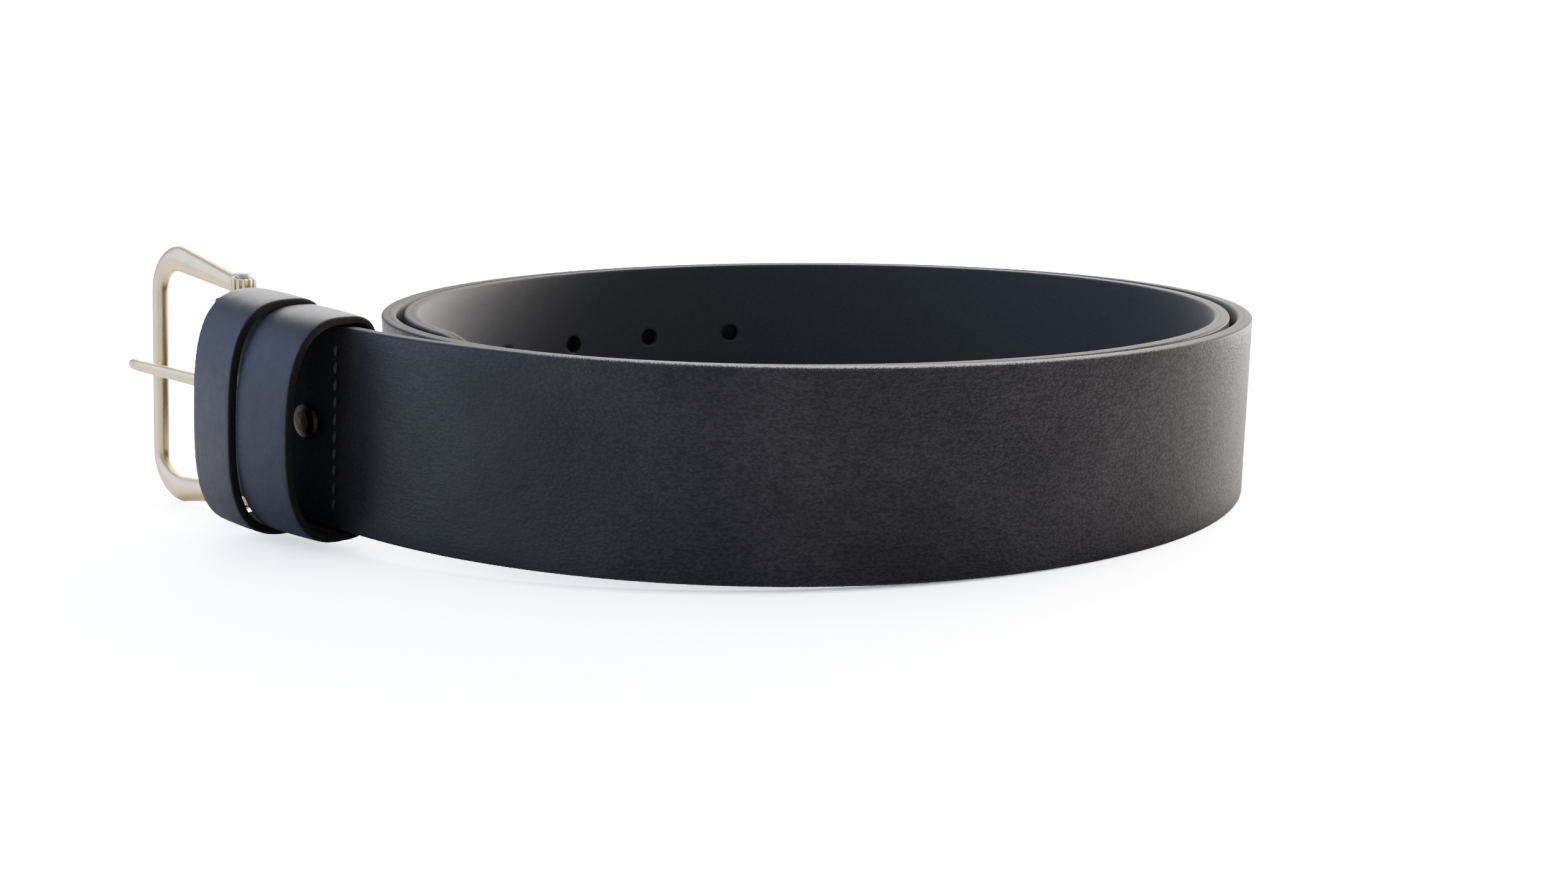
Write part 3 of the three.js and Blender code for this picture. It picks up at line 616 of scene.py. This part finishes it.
def leather_material(name, dark, light, rough, grain, relief, edge_dark, edge_light, back):
    """Grained leather with a raw cut edge and a dull flesh side, told apart by mesh attributes.

    `grain` is the depth of its bump in millimetres, and `relief` how much painted shade darkens its creases.
    """
    n = Nodes(name)
    skin = n.attribute("skin", "Vector")  # millimetres along and across the piece, and through its edge
    edge, flesh, worn_and_lit, matte_and_shade = [n.attribute(each) for each in ("edge", "flesh", "worn_and_lit", "matte_and_shade")]
    handled_and_lit = n.ramp(worn_and_lit, [(0.5, 0.0), (0.95, 1.0)])
    height, sunk = grain_relief(n, skin)
    sunk = n.math("MULTIPLY", sunk, n.math("MULTIPLY", n.linear(handled_and_lit, 0.6, 0.4), relief))
    fibres = n.noise(n.scaled(skin, (1.2, 3.0, 3.0)), scale=1.6, detail=5.0, roughness=0.75)
    fuzz = n.noise(skin, scale=3.2, detail=5.0, roughness=0.7)
    height = n.mix(edge, n.mix(flesh, height, n.math("MULTIPLY", fuzz, 0.6)), n.math("MULTIPLY", fibres, 2.0))
    face = face_colour(n, skin, handled_and_lit, sunk, matte_and_shade, dark, light)
    inside = n.mix(n.ramp(fuzz, [(0.3, 0.0), (0.7, 1.0)]), back, shaded(back, 1.7))
    raw = cut_edge_colour(n, skin, worn_and_lit, edge_dark, edge_light, light)
    colour = n.mix(edge, n.mix(flesh, face, inside), raw)
    colour = n.mix(turn_line(n, edge, flesh), colour, grey(0.004))
    n.link(colour, n.shader.inputs["Base Color"])
    n.link(leather_roughness(n, skin, sunk, flesh, edge, matte_and_shade, rough), n.shader.inputs["Roughness"])
    n.shader.inputs["Specular IOR Level"].default_value = 0.34
    n.bump(height, n.linear(handled_and_lit, 0.65, 0.25), grain * MM)
    return n.material


def metal_material(name, colour, rough):
    """Metal with faint smears and fine brushed lines."""
    n = Nodes(name)
    position = n.add("ShaderNodeTexCoord").outputs["Object"]
    smears = n.noise(position, scale=180.0, detail=4.0, roughness=0.6)
    lines = n.noise(n.scaled(position, (2500, 2500, 300)), scale=1.0, detail=2.0, roughness=0.6)
    smeared = n.mix(n.ramp(smears, [(0.35, 0.0), (0.75, 1.0)]), colour, shaded(colour, 0.86))
    n.link(smeared, n.shader.inputs["Base Color"])
    n.shader.inputs["Metallic"].default_value = 1.0
    n.link(n.linear(smears, 0.10, rough), n.shader.inputs["Roughness"])
    n.bump(lines, 0.04, 0.02 * MM)
    return n.material


def thread_material(name, colour):
    """Waxed thread with the diagonal bands of its twist."""
    n = Nodes(name)
    position = n.add("ShaderNodeTexCoord").outputs["Object"]
    wave = n.add("ShaderNodeTexWave", wave_type="BANDS", bands_direction="DIAGONAL")
    n.put(wave.inputs["Vector"], n.scaled(position, (1400, 1400, 1400)))
    wave.inputs["Scale"].default_value = 1.0
    twist = wave.outputs["Fac"]
    n.link(n.mix(twist, shaded(colour, 0.4), colour), n.shader.inputs["Base Color"])
    n.shader.inputs["Roughness"].default_value = 0.6
    n.bump(twist, 0.6, 0.1 * MM)
    return n.material


strap_leather = leather_material(
    "strap_leather",
    dark=(0.0145, 0.0138, 0.0180), light=(0.0275, 0.0262, 0.0310),
    rough=0.29, grain=0.24, relief=0.50,
    edge_dark=(0.05, 0.05, 0.052), edge_light=(0.19, 0.19, 0.192),
    back=(0.016, 0.0165, 0.021))
# a smoother leather than the strap's, painted lighter and bluer for the blue side light that the keepers
# catch
keeper_leather = leather_material(
    "keeper_leather",
    dark=(0.016, 0.0175, 0.029), light=(0.023, 0.025, 0.038),
    rough=0.40, grain=0.05, relief=0.06,
    edge_dark=(0.006, 0.005, 0.004), edge_light=(0.020, 0.016, 0.012),
    back=(0.006, 0.006, 0.007))
cut_wall = leather_material(
    "cut_wall",
    dark=(0.02, 0.018, 0.017), light=(0.04, 0.036, 0.034),
    rough=0.6, grain=0.1, relief=0.1,
    edge_dark=(0.02, 0.018, 0.017), edge_light=(0.05, 0.045, 0.04),
    back=(0.03, 0.028, 0.026))
polished = metal_material("polished_buckle", (1.0, 0.80, 0.46), 0.26)
steel = metal_material("satin_steel", (0.62, 0.62, 0.64), 0.28)
# near black: painted shade for the screw heads that sit in the dark inside the keepers
brass = metal_material("screw_brass", (0.05, 0.042, 0.03), 0.35)
dark_thread = thread_material("waxed_thread", (0.06, 0.06, 0.068))


# ---- Strap ----

def wear_and_light(travelled):
    """How rubbed the strap is and how it is painted for light and shade: 0 at the buckle, 1 at the lit front
    of the coil, 0.5 beyond it.
    """
    rubbed = smooth((travelled - RUBBED_START) / RUBBED_FADE)
    fade_in = smooth((travelled - FRONT_START) / FRONT_FADE_IN)
    fade_out = smooth((FRONT_END - travelled) / FRONT_FADE_OUT)
    return 0.5 * rubbed + 0.5 * fade_in * fade_out


def dullness_and_shade(past_tail):
    """How dull the strap is, and how much painted shade darkens it, at a distance from the end of the tail.
    """
    return smooth((DULL_SHADE_END - past_tail) / DULL_SHADE_FADE_OUT) * smooth((past_tail - DULL_SHADE_START) / DULL_SHADE_FADE_IN)


def strap():
    places = strap_places()
    points = np.array([p["point"] for p in places])
    travelled = distances(points)
    tail_end = travelled[np.argmin(np.linalg.norm(points - tail_start["point"], axis=1))]
    flesh_offset = 60  # keeps the patterns of the two sides apart
    vertices, skin = [], []
    shares = {"edge": [], "flesh": [], "worn_and_lit": [], "matte_and_shade": []}
    for p, along in zip(places, travelled):
        radius = min(STRAP_EDGE_RADIUS, p["half_thickness"] * THIN_EDGE_SHARE)
        section = edge_outline(p["half_thickness"], p["half_width"], radius, count_x=4, count_y=12)
        for x, y, on_end in section:
            vertices.append((p["point"] + p["inward"] * x + p["up"] * y + SHIFT) * MM)
            skin.append((along, y + (flesh_offset if x > 0 else 0), 0 if on_end < 0.5 else x))
            shares["edge"].append(smooth((on_end - STRAP_EDGE_FROM) / EDGE_FADE))
            shares["flesh"].append(1.0 if x > 0 else 0.0)
            shares["worn_and_lit"].append(wear_and_light(along))
            shares["matte_and_shade"].append(dullness_and_shade(along - tail_end))
    obj = mesh_object("strap_skin", vertices, ring_faces(len(places), len(section)), strap_leather)
    set_attribute(obj, "skin", skin, "FLOAT_VECTOR")
    for name, values in shares.items():
        set_attribute(obj, name, values)
    cut(obj, [*belt_hole_cutters(), *screw_cutters(), prong_slot_cutter()])
    return obj


def belt_hole_cutters():
    cutters = []
    degrees = FIRST_HOLE
    for i in range(HOLE_COUNT):
        p = coil_place(degrees)
        cutters.append(rod(f"punch_{i}", (p["point"] + SHIFT) * MM, p["inward"], HOLE_RADIUS * MM,
                           (STRAP_THICKNESS + TURN_GAP) * MM, cut_wall))
        degrees += math.degrees(HOLE_PITCH / np.linalg.norm(coil_point(degrees)))
    return cutters


def screw_cutters():
    """A punch through both plies for each screw post, and a counterbore for the first one's head."""
    punch_length = 20
    through = TAIL_AXES[:, 1]
    cutters = [rod("screw_punch", to_tail((x, FACE_Y + STRAP_THICKNESS, 0)), through,
                   SCREW_HOLE_RADIUS * MM, punch_length * MM, cut_wall) for x in SCREW_X]
    cutters.append(rod("counterbore", to_tail((SCREW_X[0], BACK_PLY_BACK, 0)), through,
                       (SCREW_HEAD_RADIUS + CLEARANCE) * MM, 2 * COUNTERBORE_DEPTH * MM, cut_wall))
    return cutters


def prong_slot_cutter():
    """A slot with a round end, open over the fold."""
    round_steps, half_depth = 16, 10
    end = SLOT_END - SLOT_HALF_WIDTH
    outline = [(-2 * FOLD_RADIUS, -SLOT_HALF_WIDTH)]
    for i in range(round_steps + 1):
        angle = -math.pi / 2 + math.pi * i / round_steps
        outline.append((end + SLOT_HALF_WIDTH * math.cos(angle), SLOT_HALF_WIDTH * math.sin(angle)))
    outline.append((-2 * FOLD_RADIUS, SLOT_HALF_WIDTH))
    vertices = to_tail([(x, y, z) for y in (-half_depth, half_depth) for x, z in outline])
    return mesh_object("slot_cutter", vertices, prism_faces(len(outline)), cut_wall, smooth_shading=False)


strap_obj = strap()
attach(strap_obj, "belt")
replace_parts(strap_obj, "strap")


# ---- Keepers ----

def keeper_line(height, front, roundness, bend, start, end):
    """A keeper's mid-line in the tail's Y-Z plane, as in the CAD part but finer."""
    corner_steps, arch_steps, back_steps = 12, 120, 9
    top = (height - KEEPER_THICKNESS) / 2
    arch = front - KEEPER_THICKNESS / 2
    power = 2 / roundness

    def corner(y, side):
        return [(y - bend * (1 - math.cos(a)), side * (top - bend * (1 - math.sin(a))))
                for a in np.linspace(0, math.pi / 2, corner_steps + 1)]

    def back(y, z_from, z_to):
        return [(y, z) for z in np.linspace(z_from, z_to, back_steps + 1)[1:-1]]

    line = [start, *back(start[0], start[1], top - bend), *corner(start[0], 1)]
    for a in np.linspace(0, math.pi, arch_steps + 1):
        z = math.copysign(abs(math.cos(a)) ** power, math.cos(a)) * top
        line.append((FACE_Y - arch * abs(math.sin(a)) ** power, z))
    line += [*corner(end[0], -1)[::-1], *back(end[0], bend - top, end[1]), end]
    return resampled(np.array(line))


def resampled(points):
    """The same open line with points KEEPER_STEP apart, slightly smoothed."""
    smoothing_rounds = 2
    lengths = distances(points)
    even = np.linspace(0, lengths[-1], int(lengths[-1] / KEEPER_STEP) + 1)
    line = np.column_stack([np.interp(even, lengths, points[:, i]) for i in range(2)])
    for _ in range(smoothing_rounds):
        line[1:-1] = (line[:-2] + 2 * line[1:-1] + line[2:]) / 4
    return line


def keeper(name, x_start, line, flare, seed):
    """A strip of leather swept along its line, with softly rounded, slightly uneven cut edges."""
    tangents = np.gradient(line, axis=0)
    tangents /= np.linalg.norm(tangents, axis=1)[:, None]
    normals = np.column_stack([tangents[:, 1], -tangents[:, 0]])
    outward = -normals if (normals[len(line) // 2, 0] > 0) else normals
    section = edge_outline(KEEPER_THICKNESS / 2, KEEPER_WIDTH / 2, KEEPER_EDGE_RADIUS, count_x=3, count_y=12)
    wander_scale = 0.9
    edge_apart, pattern_apart = 3, 10  # so that no two edges or keepers look alike
    vertices, skin = [], []
    shares = {"edge": [], "flesh": [], "worn_and_lit": []}
    for point, normal, along in zip(line, outward, distances(line)):
        for a, w, on_end in section:
            side = 2 * w / KEEPER_WIDTH
            wander = noise.noise(Vector((along * wander_scale, math.copysign(edge_apart, w), seed)))
            width = w + KEEPER_RAGGED * wander * abs(side) ** 6
            depth = -a - (KEEPER_CROWN * side ** 2 if a < 0 else 0)
            y, z = point + normal * depth
            y += min(0.0, y - FACE_Y) * flare[0] * side
            z *= 1 + flare[1] * side
            vertices.append((x_start + KEEPER_WIDTH / 2 + width, y, z))
            skin.append((along + pattern_apart * seed, w, 0))
            shares["edge"].append(smooth((on_end - KEEPER_EDGE_FROM) / EDGE_FADE))
            shares["flesh"].append(1.0 if a > 0 else 0.0)
            shares["worn_and_lit"].append(0.5)
    obj = mesh_object(name, to_tail(vertices), ring_faces(len(line), len(section)), keeper_leather)
    set_attribute(obj, "skin", skin, "FLOAT_VECTOR")
    for share, values in shares.items():
        set_attribute(obj, share, values)
    return obj


def loose_keeper():
    """A ring whose ends meet behind the strap."""
    back = LOOSE_KEEPER_BACK - KEEPER_THICKNESS / 2
    line = keeper_line(
        LOOSE_KEEPER_HEIGHT, LOOSE_KEEPER_FRONT, LOOSE_KEEPER_ROUNDNESS, LOOSE_KEEPER_CORNER,
        start=(back, CLEARANCE / 2), end=(back, -CLEARANCE / 2))
    return keeper("loose_keeper_skin", LOOSE_KEEPER_X, line, LOOSE_KEEPER_FLARE, seed=1)


def fixed_keeper():
    """A ring whose ends overlap behind the strap."""
    inner = FIXED_KEEPER_BACK - KEEPER_THICKNESS / 2
    outer = inner + KEEPER_THICKNESS + CLEARANCE
    line = keeper_line(
        FIXED_KEEPER_HEIGHT, FIXED_KEEPER_FRONT, FIXED_KEEPER_ROUNDNESS, FIXED_KEEPER_CORNER,
        start=(inner, -FIXED_KEEPER_LAP), end=(outer, FIXED_KEEPER_LAP))
    return keeper("fixed_keeper_skin", FIXED_KEEPER_X, line, FIXED_KEEPER_FLARE, seed=2)


loose = loose_keeper()
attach(loose, "slider")
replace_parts(loose, "loose_keeper")

fixed = fixed_keeper()
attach(fixed, "belt")
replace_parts(fixed, "fixed_keeper")


# ---- Stitching ----

def stitch(middle, y, side):
    """A short length of thread along Z that swells in the middle and dips at both ends."""
    rings, sides = 11, 10
    thin_end, shortest, buried = 0.45, 0.04, 0.9
    vertices = []
    for k in range(rings):
        share = k / (rings - 1)
        inside = min(max(share, shortest), 1 - shortest)
        swell = STITCH_RADIUS * lerp(thin_end, 1, math.sin(math.pi * inside) ** 0.5)
        x = STITCH_X + STITCH_SLANT * (share - 0.5)
        depth = y + side * STITCH_DIP * (math.sin(math.pi * share) - buried)
        z = middle + (share - 0.5) * (STITCH_PITCH - STITCH_GAP)
        for j in range(sides):
            angle = 2 * math.pi * j / sides
            vertices.append((x + swell * math.cos(angle), depth + swell * math.sin(angle), z))
    return vertices, ring_faces(rings, sides)


def stitches(name, y, side):
    """A row of separate stitches on the face at depth y, which looks towards `side` along Y."""
    count = int(2 * STITCH_HALF_RUN / STITCH_PITCH)
    middles = [(i - (count - 1) / 2) * STITCH_PITCH for i in range(count)]
    vertices, faces = joined([stitch(middle, y, side) for middle in middles])
    obj = mesh_object(name, to_tail(vertices), faces, dark_thread)
    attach(obj, "belt")
    return obj


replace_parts(stitches("face_stitches", FACE_Y, -1), "face_thread")
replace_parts(stitches("back_stitches", BACK_PLY_BACK, 1), "back_thread")


# ---- Buckle ----

def frame_line():
    """The frame's mid-line in the tail's X-Z plane, with its half width, from lug to lug."""
    side_steps, corner_steps, bar_steps = 24, 28, 15
    heel_z = LUG_OUTER - HEEL_HALF_WIDTH - HEEL_INSET
    slant = math.atan((FRAME_HALF_HEIGHT - heel_z) / FRAME_REACH)
    corner_x, corner_z = FRAME_CORNER - FRAME_REACH, FRAME_HALF_HEIGHT - FRAME_CORNER
    upper = []
    for share in np.linspace(0, 1, side_steps + 1)[:-1]:
        x = lerp(0, corner_x + FRAME_CORNER * math.sin(slant), share)
        z = lerp(heel_z, corner_z + FRAME_CORNER * math.cos(slant), share)
        upper.append((x, z, math.pi - slant, lerp(HEEL_HALF_WIDTH, CORNER_HALF_WIDTH, share)))
    for share in np.linspace(0, 1, corner_steps + 1):
        angle = math.pi / 2 - slant + (math.pi / 2 + slant) * share
        half_width = lerp(CORNER_HALF_WIDTH, BAR_HALF_WIDTH, smooth(share))
        upper.append((corner_x + FRAME_CORNER * math.cos(angle), corner_z + FRAME_CORNER * math.sin(angle),
                      angle + math.pi / 2, half_width))
    bar = [(-FRAME_REACH, z, 1.5 * math.pi, BAR_HALF_WIDTH)
           for z in np.linspace(corner_z, -corner_z, bar_steps + 1)[1:-1]]
    lower = [(x, -z, math.pi - heading, half_width) for x, z, heading, half_width in reversed(upper)]
    return upper + bar + lower


def frame_loop():
    """The frame's oval section swept from lug to lug."""
    sides = 28
    line = frame_line()
    vertices = []
    for x, z, heading, half_width in line:
        for j in range(sides):
            angle = 2 * math.pi * j / sides
            across = half_width * math.cos(angle)
            vertices.append((x - math.sin(heading) * across, FRAME_HALF_THICKNESS * math.sin(angle),
                             FRAME_Z + z + math.cos(heading) * across))
    return vertices, ring_faces(len(line), sides)


def knurled_lug(side):
    """A ring of ribs around the bore, with rounded rims, above or below the strap."""
    steps_per_rib = 12
    rim_width, rim_height, rim_inset = 0.45, 0.4, 0.12  # along both faces, and in from the corner
    steps = steps_per_rib * KNURL_COUNT
    bore = BAR_RADIUS + CLEARANCE
    profile = [(bore, LUG_INNER), (bore, LUG_OUTER), (LUG_RADIUS - rim_width, LUG_OUTER),
               (LUG_RADIUS - rim_inset, LUG_OUTER - rim_inset), (LUG_RADIUS, LUG_OUTER - rim_height),
               (LUG_RADIUS, LUG_INNER + rim_height), (LUG_RADIUS - rim_inset, LUG_INNER + rim_inset),
               (LUG_RADIUS - rim_width, LUG_INNER)]
    vertices = []
    for i in range(steps):
        angle = 2 * math.pi * i / steps
        groove = KNURL_DEPTH * (0.5 - 0.5 * math.cos(KNURL_COUNT * angle))
        for radius, z in profile:
            r = radius - (groove if radius > bore else 0)
            vertices.append((r * math.cos(angle), r * math.sin(angle), FRAME_Z + side * z))
    faces = ring_faces(steps, len(profile), closed=True)
    return vertices, faces if side < 0 else flipped(faces)


def buckle_frame():
    vertices, faces = joined([frame_loop(), knurled_lug(-1), knurled_lug(1)])
    return mesh_object("buckle_frame_body", to_tail(vertices), faces, polished)


frame_obj = buckle_frame()
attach(frame_obj, "buckle")
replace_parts(frame_obj, "buckle_frame")


def prong_shank():
    """A tapering, squarish shank with a softly bent, rounded tip."""
    rings, sides = 60, 20
    depth_at_tip, blunt_tip = 0.85, 0.08  # shares of the depth left before and at the rounded end
    bend_start, round_start = 0.86, 0.94  # shares of the length
    squareness = 3  # of the section: 2 is an ellipse
    vertices = []
    for i in range(rings):
        share = i / (rings - 1)
        x = -PRONG_REACH * share
        bend = PRONG_TIP_BEND * smooth((share - bend_start) / (1 - bend_start))
        y = PRONG_BACK - PRONG_THICKNESS / 2 + bend
        z = PRONG_Z + x * math.tan(math.radians(PRONG_SLANT))
        closing = max(0.0, (share - round_start) / (1 - round_start))
        scale = max(math.sqrt(1 - closing ** 2), blunt_tip)
        half_width = PRONG_HALF_WIDTH * lerp(1, PRONG_TIP_SHARE, share) * scale
        half_depth = PRONG_THICKNESS / 2 * lerp(1, depth_at_tip, share) * scale
        for j in range(sides):
            angle = 2 * math.pi * j / sides
            spread = abs(math.cos(angle)) ** squareness + abs(math.sin(angle)) ** squareness
            squarish = spread ** (-1 / squareness)
            vertices.append((x, y + half_depth * squarish * math.sin(angle),
                             z + half_width * squarish * math.cos(angle)))
    return vertices, ring_faces(rings, sides)


def prong_eye():
    """The ring around the heel bar, with bevelled rims."""
    steps, bevel_width, bevel_height = 64, 0.4, 0.25
    bore, outer = BAR_RADIUS + CLEARANCE, PRONG_THICKNESS - PRONG_BACK
    half, low = PRONG_HALF_WIDTH, PRONG_HALF_WIDTH * (1 - bevel_height)
    profile = [(bore, -half), (bore, half), (outer - bevel_width, half), (outer, low), (outer, -low),
               (outer - bevel_width, -half)]
    vertices = []
    for i in range(steps):
        angle = 2 * math.pi * i / steps
        vertices += [(r * math.cos(angle), r * math.sin(angle), PRONG_Z + z) for r, z in profile]
    return vertices, flipped(ring_faces(steps, len(profile), closed=True))


def prong():
    vertices, faces = joined([prong_shank(), prong_eye()])
    return mesh_object("prong_body", to_tail(vertices), faces, polished)


prong_obj = prong()
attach(prong_obj, "tongue")
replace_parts(prong_obj, "prong")

STEEL_NODES = ("heel_bar", "loose_keeper_staple_1", "loose_keeper_staple_2")
BRASS_NODES = ("screw_post_1", "screw_1", "screw_post_2", "screw_2")
for nodes, material in ((STEEL_NODES, steel), (BRASS_NODES, brass)):
    for node in nodes:
        node_materials = frame["nodes"][node].data.materials
        node_materials.clear()
        node_materials.append(material)


# ---- Floor, light and camera, in metres and degrees ----

FLOOR_RADIUS, FLOOR_SIDES = 1.3, 120  # ends before the back wall light
FLOOR_SEEN = (12.0, 12.1, 12.4)  # the paper's colour to the camera, overexposed
FLOOR_LIGHTING = (0.61, 0.60, 0.59)  # and to everything that it lights
SKY_COLOUR = (0.93, 0.96, 1.0)
SKY_SEEN, SKY_LIGHTING = 22.0, 0.42
CAMERA_TURN = 37.25  # from looking along +Y
CAMERA_DROP = 12.25
CAMERA_HEIGHT = 0.0855
CAMERA_LENS, CAMERA_SENSOR = 35.156, 36  # millimetres
COIL_RIGHT, COIL_AWAY = 0.00584, 0.3659  # the coil's centre from the camera's floor point
AIM = (0.0, 0.366, 0.02)  # what the lights point at, given as in_view takes it

LIGHTS = (  # name, place as in_view takes it, size, watts and colour
    ("back_wall", (0.35, 1.75, 0.75), (3.2, 1.5), 100, (1.0, 0.99, 0.96)),
    ("top_softbox", (0.0, 0.55, 1.0), (1.0, 0.8), 5.5, (1.0, 1.0, 1.0)),
    ("left_window", (-1.1, 0.05, 0.5), (1.4, 1.0), 12, (0.54, 0.66, 1.0)),
    ("right_fill", (1.2, 0.5, 0.45), (1.2, 0.9), 3.5, (1.0, 0.88, 0.74)),
    ("right_low", (0.45, 1.1, 0.16), (0.7, 0.5), 42, (1.0, 0.93, 0.84)),
)


def in_view(right, away, height):
    """A point to the right of, behind and above the camera's floor point."""
    turn = math.radians(CAMERA_TURN)
    right -= COIL_RIGHT
    away -= COIL_AWAY
    x, y, _ = SHIFT * MM
    return (x + right * math.cos(turn) - away * math.sin(turn),
            y + right * math.sin(turn) + away * math.cos(turn),
            height)


def floor():
    """White paper, overexposed to the camera but lighting the belt only as a pale grey."""
    n = Nodes("floor_white")
    seen = n.add("ShaderNodeLightPath").outputs["Is Camera Ray"]
    diffuse = n.add("ShaderNodeBsdfDiffuse")
    n.link(n.mix(seen, FLOOR_LIGHTING, FLOOR_SEEN), diffuse.inputs["Color"])
    n.link(diffuse.outputs[0], n.tree.nodes["Material Output"].inputs["Surface"])
    turns = np.radians(np.arange(0, 360, 360 / FLOOR_SIDES))
    rim = [(FLOOR_RADIUS * math.cos(a), FLOOR_RADIUS * math.sin(a), 0) for a in turns]
    obj = mesh_object("floor", rim, [tuple(range(len(rim)))], n.material, smooth_shading=False)


def world():
    """A plain pale sky, white to the camera and dim to everything that it lights."""
    sky = bpy.data.worlds.new("studio")
    sky.use_nodes = True
    tree = sky.node_tree
    background = tree.nodes["Background"]
    background.inputs["Color"].default_value = (*SKY_COLOUR, 1)
    path = tree.nodes.new("ShaderNodeLightPath")
    strength = tree.nodes.new("ShaderNodeMapRange")
    tree.links.new(path.outputs["Is Camera Ray"], strength.inputs["Value"])
    strength.inputs["To Min"].default_value = SKY_LIGHTING
    strength.inputs["To Max"].default_value = SKY_SEEN
    tree.links.new(strength.outputs[0], background.inputs["Strength"])
    bpy.context.scene.world = sky


def area_light(name, position, target, size, power, colour):
    light = bpy.data.lights.new(name, "AREA")
    light.shape = "RECTANGLE"
    light.size, light.size_y = size
    light.energy = power
    light.color = colour
    obj = bpy.data.objects.new(name, light)
    obj.location = position
    obj.rotation_euler = (Vector(target) - Vector(position)).to_track_quat("-Z", "Y").to_euler()
    bpy.context.scene.collection.objects.link(obj)


def camera():
    data = bpy.data.cameras.new("camera")
    data.lens = CAMERA_LENS
    data.sensor_width = CAMERA_SENSOR
    obj = bpy.data.objects.new("camera", data)
    obj.location = in_view(0, 0, CAMERA_HEIGHT)
    obj.rotation_euler = (math.radians(90 - CAMERA_DROP), 0, math.radians(CAMERA_TURN))
    bpy.context.scene.collection.objects.link(obj)
    bpy.context.scene.camera = obj


camera()
floor()
world()
for light_name, spot, light_size, watts, light_colour in LIGHTS:
    area_light(light_name, in_view(*spot), in_view(*AIM), light_size, watts, light_colour)
